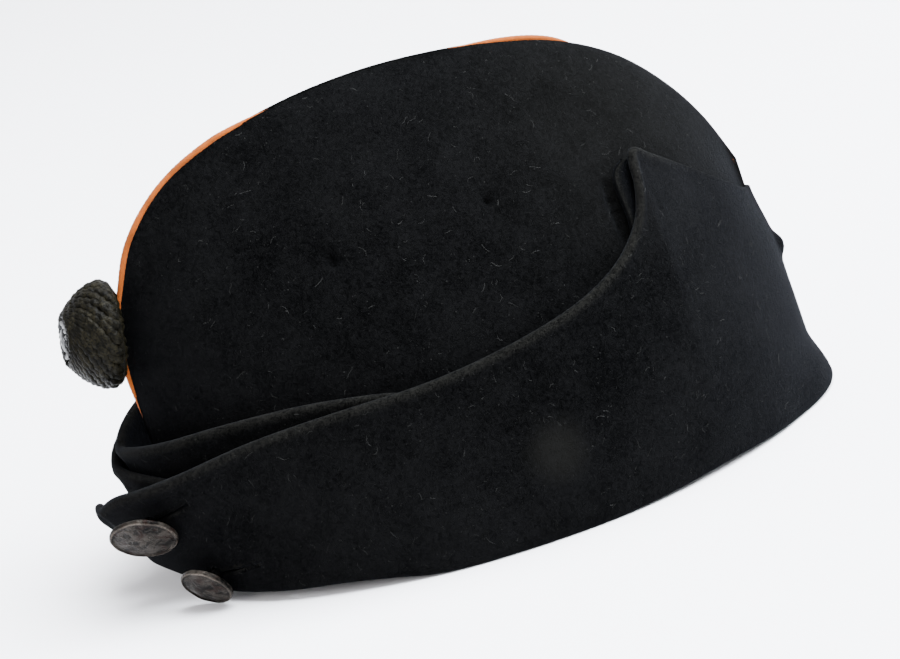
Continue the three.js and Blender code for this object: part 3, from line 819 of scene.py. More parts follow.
# Shader maths
class Field:
    """A value that varies over a surface, held as a node socket; arithmetic on it adds Math nodes."""

    def __init__(self, paint, socket):
        self.paint = paint
        self.socket = socket

    def math(self, operation, *terms):
        """One Math node."""
        return self.paint.node("ShaderNodeMath", {"operation": operation}, dict(enumerate(terms)))

    def __add__(self, other):
        return self.math("ADD", self, other)

    def __radd__(self, other):
        return self.math("ADD", other, self)

    def __sub__(self, other):
        return self.math("SUBTRACT", self, other)

    def __rsub__(self, other):
        return self.math("SUBTRACT", other, self)

    def __mul__(self, other):
        return self.math("MULTIPLY", self, other)

    def __rmul__(self, other):
        return self.math("MULTIPLY", other, self)

    def ramp(self, low, high):
        """Soft ramp from 0 where the value is low to 1 where it is high."""
        sockets = {"Value": self, "From Min": low, "From Max": high, "To Min": 0.0, "To Max": 1.0}
        return self.paint.node("ShaderNodeMapRange", {"interpolation_type": "SMOOTHSTEP"}, sockets)


class Paint:
    """A procedural material; lengths in it are millimetres."""

    def __init__(self, name, **constants):
        self.material = bpy.data.materials.new(name)
        self.material.use_nodes = True
        self.tree = self.material.node_tree
        self.shader = self.tree.nodes["Principled BSDF"]
        for socket, value in constants.items():
            self.shader.inputs[socket.replace("_", " ")].default_value = value
        metres = self.node("ShaderNodeTexCoord", {}, {}, "Object")
        self.place = self.node("ShaderNodeVectorMath", {"operation": "SCALE"}, {0: metres, "Scale": 1 / MM})

    def node(self, kind, settings, sockets, output=0):
        """Any node: its settings first, then its sockets by name or number; gives one output."""
        node = self.tree.nodes.new(kind)
        for name, value in settings.items():
            setattr(node, name, value)
        for key, value in sockets.items():
            if isinstance(value, Field):
                self.tree.links.new(value.socket, node.inputs[key])
            else:
                node.inputs[key].default_value = value
        return Field(self, node.outputs[output])

    def noise(self, size, detail=2.0, roughness=0.5, distortion=0.0):
        """Cloudy noise whose features are about size millimetres across, around 0.5."""
        sockets = {
            "Vector": self.place,
            "Scale": 1 / size,
            "Detail": detail,
            "Roughness": roughness,
            "Distortion": distortion,
        }
        return self.node("ShaderNodeTexNoise", {}, sockets)

    def cells(self, size):
        """Distance from the nearest of scattered points about size millimetres apart."""
        sockets = {"Vector": self.place, "Scale": 1 / size}
        return self.node("ShaderNodeTexVoronoi", {}, sockets, "Distance") * size

    def away_from(self, point):
        """Distance in millimetres from a point of the cap's own frame."""
        sockets = {0: self.place, 1: Vector(point) + Vector(CENTRE)}
        return self.node("ShaderNodeVectorMath", {"operation": "DISTANCE"}, sockets, "Value")

    def wear(self):
        """The mesh's own record of its worn edges."""
        return self.node("ShaderNodeAttribute", {"attribute_name": "wear"}, {}, "Fac")

    def mix(self, share, first, second):
        """Mix of two colours."""
        sockets = {MIX_SHARE: share, MIX_FIRST: first, MIX_SECOND: second}
        return self.node("ShaderNodeMix", {"data_type": "RGBA"}, sockets, MIX_RESULT)

    def feed(self, **fields):
        """Links fields to the shader's sockets."""
        for socket, field in fields.items():
            self.tree.links.new(field.socket, self.shader.inputs[socket.replace("_", " ")])

    def bump(self, height, depth, strength=1.0):
        """Feeds relief of a depth in millimetres to the shader's normal."""
        sockets = {"Height": height, "Distance": depth * MM, "Strength": strength}
        self.feed(Normal=self.node("ShaderNodeBump", {}, sockets))


def opaque(colour):
    """Colour with full alpha."""
    return (*colour, 1.0)


def scaled(colour, share):
    """Colour made lighter or darker."""
    return tuple(part * share for part in colour) + (1.0,)


def wool_paint(name, colours, fade_and_light=None, middle=None, shade=1.0):
    """Felted wool: short nap, broad mottling, lint flecks and paler worn edges; a soft patch lightens it, a
    faded spot on the flap and painted light on the crown, and a shade below one darkens it all as painted
    shade.
    """
    paint = Paint(
        name,
        Sheen_Weight=0.5,
        Sheen_Roughness=0.4,
        Sheen_Tint=opaque(colours.sheen),
        Specular_IOR_Level=0.006,
    )
    nap = paint.noise(0.34, detail=3.0, roughness=0.6)
    tufts = paint.noise(1.3, roughness=0.6, distortion=0.8)
    mottle = paint.noise(9, detail=3.0)
    drift_tone = paint.noise(52)
    fleck = (1 - paint.cells(2.1).ramp(0.06, 0.18)) * paint.noise(11).ramp(0.4, 0.6)
    tone = (0.6 * nap + 0.5 * tufts + 0.25 * mottle + 0.35 * drift_tone).ramp(0.6, 1.1)
    # A shade below one darkens the wool and its worn edges: painted shade
    colour = paint.mix(tone, scaled(colours.wool, 0.1 * shade), scaled(colours.wool, 2.2 * shade))
    # Soft patch mixed towards the worn colour: a real faded spot on the flap, painted light on the crown's
    # upper back
    if fade_and_light is not None:
        spot = 1 - (paint.away_from(middle) + 3.0 * mottle + 2.0 * tufts).ramp(fade_and_light["near"], fade_and_light["far"])
        colour = paint.mix(fade_and_light["share"] * spot, colour, opaque(colours.wool_worn_and_lit))
    fuzz = (0.9 * nap + 0.35 * tufts).ramp(0.46, 0.82)
    colour = paint.mix(shade * paint.wear() * fuzz, colour, opaque(colours.wool_worn_and_lit))
    colour = paint.mix(0.6 * fleck, colour, opaque(colours.lint))
    paint.feed(Base_Color=colour, Roughness=0.82 + 0.16 * tufts)
    paint.bump(0.55 * nap + 0.6 * tufts, 0.5, 0.8)
    return paint.material


def piping_paint(colours):
    """Faded cloth-covered cord, dirtier in patches, with its fine slanting weave."""
    paint = Paint("piping_cloth", Sheen_Weight=0.08, Sheen_Roughness=0.5, Specular_IOR_Level=0.06)
    dirt = paint.noise(6.5, detail=3.0).ramp(0.42, 0.72)
    thread = paint.noise(0.3, roughness=0.7)
    colour = paint.mix(thread, scaled(colours.piping, 0.72), scaled(colours.piping, 1.25))
    colour = paint.mix(0.55 * dirt, colour, scaled(colours.piping, 0.4))
    paint.feed(Base_Color=colour, Roughness=0.75 + 0.2 * thread)
    paint.bump(thread, 0.12)
    return paint.material


def pewter_paint(colours):
    """Tarnished white metal: dull mottled faces, pits and a rim rubbed bright."""
    paint = Paint("button_pewter", Specular_IOR_Level=0.05, Specular_Tint=(0.4, 0.4, 0.4, 1))
    stain = paint.noise(1.7, detail=3.0, roughness=0.6, distortion=0.5)
    cloud = paint.noise(5.0)
    pits = 1 - paint.cells(1.5).ramp(0.08, 0.35)
    relief = (0.6 * stain + 0.6 * cloud).ramp(0.46, 0.74)
    rust = paint.noise(3.1).ramp(0.5, 0.68)
    colour = paint.mix(relief, scaled(colours.metal, 0.06), scaled(colours.metal, 2.3))
    colour = paint.mix(0.75 * rust, colour, opaque(colours.rust))
    colour = paint.mix(0.6 * pits * stain, colour, scaled(colours.metal, 0.15))
    rubbed = paint.wear() * (0.15 + 0.9 * cloud)
    colour = paint.mix(rubbed.ramp(0.15, 0.95), colour, scaled(colours.metal, 9.0))
    roughness = 0.42 - 0.1 * relief - 0.12 * rubbed
    paint.feed(Base_Color=colour, Metallic=0.1 + 0.7 * rubbed, Roughness=roughness)
    paint.bump(relief - 0.4 * pits, 0.22)
    return paint.material


def gimp_paint(colours):
    """Twisted silky cord, dark olive and black strands."""
    paint = Paint("boss_gimp", Specular_IOR_Level=0.03)
    strand = paint.noise(0.5, roughness=0.6)
    patch = paint.noise(3.2).ramp(0.36, 0.68)
    colour = paint.mix(patch, scaled(colours.gimp, 0.6), scaled(colours.gimp, 2.4))
    colour = paint.mix(strand.ramp(0.4, 0.65), colour, scaled(colours.gimp, 0.1))
    paint.feed(Base_Color=colour, Roughness=0.24 + 0.3 * strand)
    paint.bump(strand, 0.3)
    return paint.material


def ornament_paint(colours):
    """Blackened metal, worn bright on its high spots."""
    paint = Paint("stud_metal", Specular_IOR_Level=0.1)
    stain = paint.noise(1.2, detail=3.0, roughness=0.6)
    blotch = paint.noise(2.6).ramp(0.46, 0.62)
    bright = (paint.wear() * blotch + 0.4 * (stain - 0.5)).ramp(0.22, 0.9)
    colour = paint.mix(bright, scaled(colours.ornament, 0.15), scaled(colours.ornament, 4.5))
    roughness = 0.34 - 0.1 * bright + 0.12 * stain
    paint.feed(Base_Color=colour, Metallic=0.2 + 0.5 * bright, Roughness=roughness)
    paint.bump(stain, 0.4)
    return paint.material


def thread_paint(colours):
    """Dark sewing thread with a faint twist."""
    paint = Paint("sewing_thread", Specular_IOR_Level=0.015)
    strand = paint.noise(0.25, detail=1.0)
    worn = paint.noise(3.0).ramp(0.5, 0.7)
    colour = paint.mix(strand, scaled(colours.wool, 0.5), scaled(colours.wool, 1.6))
    colour = paint.mix(0.4 * worn, colour, opaque(colours.wool_worn_and_lit))
    paint.feed(Base_Color=colour, Roughness=0.6 + 0.3 * strand)
    paint.bump(strand, 0.05)
    return paint.material


def lint_paint(colours):
    """Pale stray fibres."""
    paint = Paint("lint_fibre", Specular_IOR_Level=0.2)
    shade = paint.noise(7.0, detail=1.0)
    colour = paint.mix(shade, scaled(colours.lint, 0.45), opaque(colours.lint))
    paint.feed(Base_Color=colour, Roughness=0.8 + 0.15 * shade)
    return paint.material


def nap_paint(colours):
    """Ends of the wool's own fibres."""
    paint = Paint("nap_fibre", Sheen_Weight=0.5, Sheen_Tint=opaque(colours.sheen), Specular_IOR_Level=0.05)
    shade = paint.noise(3.0, detail=1.0)
    colour = paint.mix(shade, scaled(colours.wool, 1.2), opaque(colours.wool_worn_and_lit))
    paint.feed(Base_Color=colour, Roughness=0.85 + 0.1 * shade)
    return paint.material


def floor_paint(colours):
    """Pale matt paper."""
    paint = Paint("paper_floor", Specular_IOR_Level=0.1)
    grain = paint.noise(240)
    colour = paint.mix(grain, scaled(colours.floor, 0.99), opaque(colours.floor))
    paint.feed(Base_Color=colour, Roughness=0.9 + 0.05 * grain)
    return paint.material


def made(name, maker, *arguments, **settings):
    """The material of that name, made the first time it is asked for."""
    return bpy.data.materials.get(name) or maker(*arguments, **settings)


# Fibres on the cloth
def scatter(faces, count, dice):
    """Random places spread evenly over grids of cloth, with their outward and lengthwise directions."""
    corners, normals, alongs, areas = [], [], [], []
    for grid in faces:
        normal, along, _ = grid_frame(grid)
        corner = grid[:-1, :-1]
        beside = grid[1:, :-1]
        above = grid[:-1, 1:]
        area = np.linalg.norm(np.cross(beside - corner, above - corner), axis=-1)
        patch = np.stack([corner, beside, above], axis=2)
        corners.append(patch.reshape(-1, 3, 3))
        normals.append(normal[:-1, :-1].reshape(-1, 3))
        alongs.append(along[:-1, :-1].reshape(-1, 3))
        areas.append(area.reshape(-1))
    corners, normals, alongs, areas = (np.concatenate(part) for part in (corners, normals, alongs, areas))
    chosen = dice.choice(len(areas), count, p=areas / areas.sum())
    across, up = dice.uniform(size=(2, count, 1))
    start = corners[chosen, 0]
    place = start + (corners[chosen, 1] - start) * across + (corners[chosen, 2] - start) * up
    return place, normals[chosen], alongs[chosen]


def cloth_faces(sizes):
    """Outer faces of all the wool pieces; the mirrored ones run backwards, so that they still face out."""
    left = [crown_faces(1, sizes)[0], flap_wall(LEFT_FLAP, LEFT_FLAP_SEED)[2], peak_wall()[2]]
    right = [crown_faces(-1, sizes)[0], flap_wall(RIGHT_FLAP, RIGHT_FLAP_SEED)[2]]
    return left + [mirrored(face)[::-1] for face in right]


# Settings
class CapSizes(bpy.types.PropertyGroup):
    """Sizes and counts of the cap's fine detail."""

    dimple_depth: bpy.props.FloatProperty(
        name="Dimple depth", description="Depth of the hollows in the side", default=0.0011, unit="LENGTH"
    )
    lint_length: bpy.props.FloatProperty(
        name="Lint length", description="Length of the longest stray fibres", default=0.0032, unit="LENGTH"
    )
    lint_width: bpy.props.FloatProperty(
        name="Lint width", description="Thickness of the stray fibres", default=0.00005, unit="LENGTH"
    )
    nap_height: bpy.props.FloatProperty(
        name="Nap height", description="Length of the wool's own fibre ends", default=0.0009, unit="LENGTH"
    )
    lint_count: bpy.props.IntProperty(name="Lint count", description="Number of stray fibres", default=2800)
    nap_count: bpy.props.IntProperty(name="Nap count", description="Number of fibre ends", default=36000)
    cord_count: bpy.props.IntProperty(name="Boss cords", description="Number of the boss's cords", default=28)


class CapColours(bpy.types.PropertyGroup):
    """Colours of the cap's materials."""

    wool: bpy.props.FloatVectorProperty(
        name="Wool", description="Felted wool", default=(0.0012, 0.0012, 0.00124), subtype="COLOR"
    )
    # Worn wool, also mixed in as painted light on the crown's upper back
    wool_worn_and_lit: bpy.props.FloatVectorProperty(
        name="Worn wool", description="Wool at its edges", default=(0.0086, 0.0084, 0.0071), subtype="COLOR"
    )
    sheen: bpy.props.FloatVectorProperty(
        name="Sheen", description="Light caught by the nap", default=(0.020, 0.022, 0.027), subtype="COLOR"
    )
    lint: bpy.props.FloatVectorProperty(
        name="Lint", description="Stray fibres", default=(0.030, 0.030, 0.028), subtype="COLOR"
    )
    piping: bpy.props.FloatVectorProperty(
        name="Piping", description="Cloth-covered cord", default=(0.19, 0.043, 0.0045), subtype="COLOR"
    )
    metal: bpy.props.FloatVectorProperty(
        name="Buttons", description="Tarnished white metal", default=(0.0088, 0.0075, 0.0063), subtype="COLOR"
    )
    rust: bpy.props.FloatVectorProperty(
        name="Tarnish", description="Stain on the buttons", default=(0.0080, 0.0042, 0.0032), subtype="COLOR"
    )
    gimp: bpy.props.FloatVectorProperty(
        name="Boss cord", description="Twisted cord", default=(0.0036, 0.0031, 0.0017), subtype="COLOR"
    )
    ornament: bpy.props.FloatVectorProperty(
        name="Stud", description="Blackened metal", default=(0.035, 0.035, 0.035), subtype="COLOR"
    )
    floor: bpy.props.FloatVectorProperty(
        name="Floor", description="Pale paper floor", default=(0.86, 0.85, 0.87), subtype="COLOR"
    )


class CAP_OT_crown(bpy.types.Operator):
    """Builds the two halves of the crown"""

    bl_idname = "cap.crown"
    bl_label = "Crown"

    def execute(self, context):
        # The crown's wool is painted lighter towards its upper back: painted light
        middle = crown_at(CROWN_PAINTED_LIGHT["angle"], CROWN_PAINTED_LIGHT["height"])
        paint = made("crown_wool", wool_paint, "crown_wool", context.scene.cap_colours, CROWN_PAINTED_LIGHT, middle)
        for name, side in (("crown_left", 1), ("crown_right", -1)):
            outer, inner = crown_faces(side, context.scene.cap_sizes)
            shape = Shape()
            loops = panel_loops(outer, inner)
            shape.loft(loops if side > 0 else mirrored(loops))
            shape.build(name + "_wool", paint, "black_wool", name)
        return {"FINISHED"}


class CAP_OT_piping(bpy.types.Operator):
    """Builds the cord in the ridge seam"""

    bl_idname = "cap.piping"
    bl_label = "Piping"

    def execute(self, context):
        steps = np.linspace(0, 1, PIPING_LINE_STEPS)
        front = crown_at(-90, PIPING_FRONT_FOOT + steps[:-1] * (RIDGE["z"][0] - PIPING_FRONT_FOOT))
        angle = -90 + 180 * steps
        top = crown_point(angle, 90 + drift(angle))
        back = crown_at(90, RIDGE["z"][-1] + steps[1:] * (PIPING_BACK_FOOT - RIDGE["z"][-1]))
        line = np.concatenate([front, top, back])
        run = np.concatenate([[0], np.cumsum(np.linalg.norm(np.diff(line, axis=0), axis=1))])
        even = np.linspace(0, run[-1], PIPING_STEPS + 1)
        line = np.stack([np.interp(even, run, line[:, i]) for i in range(3)], axis=-1)
        along = unit(np.gradient(line, axis=0))
        out = unit(np.stack([line[:, 0] / CROWN_HALF_WIDTH, -along[:, 2], along[:, 1]], axis=-1))
        low = (line[:, 1] < 0) * (1 - smoothstep(line[:, 2], PIPING_DIP, PIPING_FULL))
        rise = read(PIPING_RISE, "y", line[:, 1], "rise")
        line = line + out * (rise + (PIPING_FOOT_RISE - rise) * low)[:, None]
        radius = PIPING_RADIUS * (1 + PIPING_SWELL * waves(line, PIPING_SWELL_LENGTH, SEED + 1))
        shape = Shape()
        shape.tube(line, radius, PIPING_SIDES, PIPING_STRANDS, PIPING_TWIST_DEPTH, PIPING_TWIST_PITCH)
        paint = made("piping_cloth", piping_paint, context.scene.cap_colours)
        shape.build("piping_cord", paint, "orange_cord", "piping")
        return {"FINISHED"}


class CAP_OT_peak(bpy.types.Operator):
    """Builds the peak that is folded up against the crown"""

    bl_idname = "cap.peak"
    bl_label = "Peak"

    def execute(self, context):
        loops, wear, _ = peak_wall()
        shape = Shape()
        shape.loft(loops, wear)
        paint = made("peak_wool", wool_paint, "peak_wool", context.scene.cap_colours)
        shape.build("peak_wool", paint, "black_wool", "peak")
        return {"FINISHED"}


def hole_frame(button):
    """Eye of a buttonhole with the directions along the slit, across it and out of the cloth."""
    eye = left_flap_face(*button["eye"])
    along = unit(left_flap_face(*button["slit"]) - eye)
    up = left_flap_face(button["eye"][0], button["eye"][1] + HOLE_STEP) - eye
    out = unit(np.cross(along, up))
    return eye, along, np.cross(out, along), out


def hole_outline():
    """Keyhole outline of a buttonhole in its own plane: a round eye and a straight slit."""
    half = SLIT_WIDTH / 2
    start = math.asin(half / EYE_RADIUS)
    turn = np.linspace(start, 2 * math.pi - start, EYE_STEPS)
    eye = np.stack([EYE_RADIUS * np.cos(turn), EYE_RADIUS * np.sin(turn)], axis=-1)
    return np.concatenate([eye, [[SLIT_LENGTH, -half], [SLIT_LENGTH, half]]])


def cut_hole(piece, button):
    """Cuts a buttonhole through the left flap."""
    eye, along, across, out = hole_frame(button)
    plan = hole_outline()
    flat = eye + plan[:, :1] * along + plan[:, 1:] * across
    depth = HOLE_PLIES * FLAP_CLOTH
    shape = Shape()
    shape.loft(np.stack([flat - out * HOLE_INWARD * depth, flat + out * HOLE_OUTWARD * depth]))
    cutter = shape.build("hole_cutter", piece.data.materials[0], "black_wool")
    cut = piece.modifiers.new("buttonhole", "BOOLEAN")
    cut.operation = "DIFFERENCE"
    cut.object = cutter
    mesh = bpy.data.meshes.new_from_object(piece.evaluated_get(bpy.context.evaluated_depsgraph_get()))
    piece.modifiers.remove(cut)
    bpy.data.objects.remove(cutter)
    piece.data = mesh


class CAP_OT_flaps(bpy.types.Operator):
    """Builds the two turned-up flaps, with the buttonholes in the left one"""

    bl_idname = "cap.flaps"
    bl_label = "Flaps"

    def execute(self, context):
        colours = context.scene.cap_colours
        middle = left_flap_face(FLAP_FADE["angle"], FLAP_FADE["height"])
        loops, wear, _ = flap_wall(LEFT_FLAP, LEFT_FLAP_SEED)
        shape = Shape()
        shape.loft(loops, wear)
        paint = made("left_flap_wool", wool_paint, "left_flap_wool", colours, FLAP_FADE, middle)
        left = shape.build("curtain_left_wool", paint, "black_wool", "curtain_left")
        for button in BUTTONS:
            cut_hole(left, button)
        loops, wear, _ = flap_wall(RIGHT_FLAP, RIGHT_FLAP_SEED)
        shape = Shape()
        shape.loft(mirrored(loops), wear)
        paint = made("right_flap_wool", wool_paint, "right_flap_wool", colours)
        shape.build("curtain_right_wool", paint, "black_wool", "curtain_right")
        loops, wear = ply_wall()
        # The ply's wool is painted darker: painted shade
        paint = made("ply_wool", wool_paint, "ply_wool", colours, shade=PLY_PAINTED_SHADE)
        for name, points in (("corner_ply_left", loops), ("corner_ply_right", mirrored(loops))):
            shape = Shape()
            shape.loft(points, wear)
            shape.build(name, paint, "black_wool")
        return {"FINISHED"}


def flap_steps(angle, height, vector):
    """Change of angle and height that moves along a direction on the left flap's face."""
    here = left_flap_face(angle, height)
    round_step = left_flap_face(angle + 1, height) - here
    up_step = left_flap_face(angle, height + 1) - here
    return np.linalg.lstsq(np.stack([round_step, up_step], axis=1), vector, rcond=None)[0]


class CAP_OT_buttonholes(bpy.types.Operator):
    """Sews the edges of the buttonholes"""

    bl_idname = "cap.buttonholes"
    bl_label = "Buttonhole stitching"

    def execute(self, context):
        shape = Shape()
        dice = np.random.default_rng(SEED + 11)
        for button in BUTTONS:
            _, along, across, out = hole_frame(button)
            base = np.array(button["eye"], float)
            by_along = flap_steps(*base, along)
            by_across = flap_steps(*base, across)
            for side in (-1, 1):
                for run in np.arange(EYE_RADIUS, SLIT_LENGTH, STITCH_PITCH):
                    reach = STITCH_REACH * dice.uniform(*STITCH_SPREAD)
                    lean = dice.uniform(-STITCH_LEAN, STITCH_LEAN)
                    spans = np.linspace(0, 1, STITCH_STEPS)
                    out_from = side * (SLIT_WIDTH / 2 - STITCH_INSET + reach * spans)
                    steps = base + by_along * (run + lean * spans)[:, None] + by_across * out_from[:, None]
                    lift = STITCH_RADIUS * (STITCH_ARCH * np.sin(math.pi * spans) + STITCH_LIFT)
                    path = left_flap_face(steps[:, 0], steps[:, 1]) + out * lift[:, None]
                    shape.tube(path, STITCH_RADIUS, STITCH_SIDES)
        paint = made("sewing_thread", thread_paint, context.scene.cap_colours)
        shape.build("buttonhole_stitches", paint, "black_wool")
        return {"FINISHED"}


class CAP_OT_buttons(bpy.types.Operator):
    """Builds the two domed buttons with their thread shanks"""

    bl_idname = "cap.buttons"
    bl_label = "Buttons"

    def execute(self, context):
        colours = context.scene.cap_colours
        for number, button in enumerate(BUTTONS):
            eye, _, _, out = hole_frame(button)
            back = eye + out * button["clear"]
            facing = unit(np.array(button["facing"]))
            radius = button["radius"]
            shape = Shape()
            share = np.linspace(0, 1, BUTTON_FACE_STEPS)
            rise = BUTTON_FACE_RISE + BUTTON_DOME * np.sin(share * math.pi / 2)
            face = np.stack([BUTTON_FACE * (1 - share) * radius, rise], axis=-1)
            edge = np.array(BUTTON_EDGE) * np.array([radius, 1.0])
            profile = np.concatenate([edge, face[:-1], [[POLE, BUTTON_TOP]]])
            shape.turned(profile, BUTTON_SEGMENTS, facing, back, BUTTON_DENTS, SEED + number)
            apart = (profile[:, 0] / radius - RUB_REACH) / RUB_WIDTH
            rubbed = np.exp(-(apart**2)) * (profile[:, 1] > RUB_RISE)
            shape.wear[-1] = np.repeat(rubbed, BUTTON_SEGMENTS)
            paint = made("button_pewter", pewter_paint, colours)
            shape.build(button["name"] + "_metal", paint, "tarnished_pewter", button["name"])
            own = np.array(button["eye"], float)
            across_tab = read(RIGHT_FLAP, "bottom", -180 - own[0], "low")
            depth = left_flap_distance(*own) - across_tab
            turns = np.linspace(0, 1, SHANK_COIL_STEPS)
            length = depth - SHANK_GAP + button["clear"]
            foot = eye + out * (SHANK_GAP - depth)
            side = unit(np.cross(out, facing))
            over = np.cross(out, side)
            angle = turns * length / (2 * STITCH_RADIUS) * 2 * math.pi
            coil = foot + out * (turns * length)[:, None]
            coil = coil + SHANK_RADIUS * (side * np.cos(angle)[:, None] + over * np.sin(angle)[:, None])
            thread = Shape()
            thread.tube(coil, STITCH_RADIUS * SHANK_THREAD, STITCH_SIDES)
            core = foot + out * np.linspace(0, length, SHANK_STEPS)[:, None]
            thread.tube(core, SHANK_RADIUS, SHANK_SIDES)
            paint = made("sewing_thread", thread_paint, colours)
            thread.build(button["name"] + "_thread", paint, "black_wool")
        return {"FINISHED"}


BOSS_AXIS = np.array([0, -math.cos(math.radians(BOSS_TILT)), math.sin(math.radians(BOSS_TILT))])


def boss_foot():
    """Middle of the boss's back."""
    return crown_at(-90, BOSS_Z) - BOSS_AXIS * BOSS_SINK


class CAP_OT_boss(bpy.types.Operator):
    """Winds the corded boss on the front seam"""

    bl_idname = "cap.boss"
    bl_label = "Boss"

    def execute(self, context):
        count = context.scene.cap_sizes.cord_count
        foot = boss_foot()
        side = np.array([1.0, 0, 0])
        over = np.cross(BOSS_AXIS, side)
        scale = np.array([BOSS_RADIUS, 1.0])
        under = np.array(BOSS_UNDER) * scale
        turn = np.radians(np.linspace(0, BOSS_TOP_TURN, BOSS_CORD_STEPS))
        dome_reach = BOSS_FLAT + (BOSS_RADIUS - BOSS_FLAT) * np.cos(turn) ** BOSS_ROUND
        dome = np.stack([dome_reach, BOSS_EDGE + (BOSS_HEIGHT - BOSS_EDGE) * np.sin(turn)], axis=-1)
        outline = np.concatenate([under, dome])
        reach = outline[:, 0]
        half = np.clip(math.pi * reach / count, *BOSS_CORD_HALF)
        shrink = 1 - half / BOSS_RADIUS
        shape = Shape()
        floor = BOSS_HEIGHT - BOSS_RECESS_DEPTH
        core = np.stack([reach * shrink, outline[:, 1] - BOSS_CORE_SINK * half], axis=-1)[len(under):]
        recess = [[BOSS_RECESS, BOSS_HEIGHT - BOSS_RECESS_LIP], [BOSS_RECESS, floor], [POLE, floor]]
        core = np.concatenate([np.array(BOSS_PAD) * scale, core, recess])
        shape.turned(core, BOSS_CORE_SEGMENTS, BOSS_AXIS, foot)
        dice = np.random.default_rng(SEED + 17)
        share = np.linspace(0, 1, len(outline))
        for k in range(count):
            waver = np.sin(share * dice.uniform(*BOSS_WOBBLE_WAVES) + dice.uniform(*ANY_PHASE))
            wobble = BOSS_WOBBLE * waver * (1 - share)
            angle = 2 * math.pi * k / count + math.radians(BOSS_SWIRL) * share + wobble
            ring = side * np.cos(angle)[:, None] + over * np.sin(angle)[:, None]
            height = outline[:, 1] - BOSS_CORD_SINK * half
            path = foot + ring * (reach - half)[:, None] + BOSS_AXIS * height[:, None]
            own = half * dice.uniform(*BOSS_CORD_SPREAD)
            phase = dice.uniform(*ANY_PHASE)
            shape.tube(path, own, BOSS_CORD_SIDES, BOSS_STRANDS, BOSS_TWIST_DEPTH, BOSS_TWIST_PITCH, phase)
        paint = made("boss_gimp", gimp_paint, context.scene.cap_colours)
        shape.build("boss_cords", paint, "gimp_cord", "boss")
        return {"FINISHED"}


class CAP_OT_stud(bpy.types.Operator):
    """Builds the plain beaded stud on the boss"""

    bl_idname = "cap.stud"
    bl_label = "Stud"

    def execute(self, context):
        foot = boss_foot() + BOSS_AXIS * (BOSS_HEIGHT - BOSS_RECESS_DEPTH)
        shape = Shape()
        fall = np.linspace(0, 1, STUD_DOME_STEPS) * STUD_DOME_TURN
        rise = STUD_DOME_RISE + STUD_DOME_HEIGHT * np.sin(fall)
        dome = np.stack([STUD_DOME * STUD_RADIUS * np.cos(fall), rise], axis=-1)
        edge = np.array(STUD_EDGE) * np.array([STUD_RADIUS, 1.0])
        profile = np.concatenate([edge, dome, [[POLE, STUD_TOP]]])
        shape.turned(profile, STUD_SEGMENTS, BOSS_AXIS, foot, STUD_DENTS, SEED + 23)
        shape.wear[-1] = np.repeat(smoothstep(profile[:, 1], *STUD_WORN), STUD_SEGMENTS)
        side = np.array([1.0, 0, 0])
        over = np.cross(BOSS_AXIS, side)
        fall = np.linspace(-BEAD_TURN, BEAD_TURN, BEAD_STEPS)
        bead = np.stack([BEAD_RADIUS * np.cos(fall), BEAD_RADIUS * np.sin(fall)], axis=-1)
        for turn in np.linspace(0, 2 * math.pi, BEAD_COUNT, endpoint=False):
            out = side * math.cos(turn) + over * math.sin(turn)
            place = foot + out * BEAD_RING * STUD_RADIUS + BOSS_AXIS * BEAD_RISE
            shape.turned(bead, BEAD_SEGMENTS, BOSS_AXIS, place)
            shape.wear[-1] = np.repeat(smoothstep(bead[:, 1], *BEAD_WORN), BEAD_SEGMENTS)
        paint = made("stud_metal", ornament_paint, context.scene.cap_colours)
        shape.build("boss_stud", paint, "dark_metal", "boss_ornament")
        return {"FINISHED"}


class CAP_OT_lint(bpy.types.Operator):
    """Strews stray fibres over the cloth"""

    bl_idname = "cap.lint"
    bl_label = "Lint"

    def execute(self, context):
        sizes = context.scene.cap_sizes
        dice = np.random.default_rng(SEED + 29)
        places, normals, alongs = scatter(cloth_faces(sizes), sizes.lint_count, dice)
        spans = np.linspace(-0.5, 0.5, LINT_STEPS)[:, None]
        shape = Shape()
        for place, normal, along in zip(places, normals, alongs):
            if place[2] < LINT_FLOOR:
                continue
            across = np.cross(normal, along)
            turn = dice.uniform(0, 2 * math.pi)
            run = along * math.cos(turn) + across * math.sin(turn)
            bend = np.cross(normal, run)
            share = dice.uniform(*LINT_LENGTH_SPREAD) ** LINT_LENGTH_POWER
            length = sizes.lint_length / MM * share + LINT_SHORTEST
            radius = sizes.lint_width / MM / 2 * dice.uniform(*LINT_WIDTH_SPREAD)
            curve = dice.uniform(-LINT_BEND, LINT_BEND) * spans**2
            curve = curve + dice.uniform(-LINT_CURL, LINT_CURL) * spans**3
            path = place + length * (run * spans + bend * curve) + normal * (radius + LINT_LIFT)
            shape.tube(path, radius, LINT_SIDES)
        paint = made("lint_fibre", lint_paint, context.scene.cap_colours)
        shape.build("lint", paint, "black_wool")
        return {"FINISHED"}


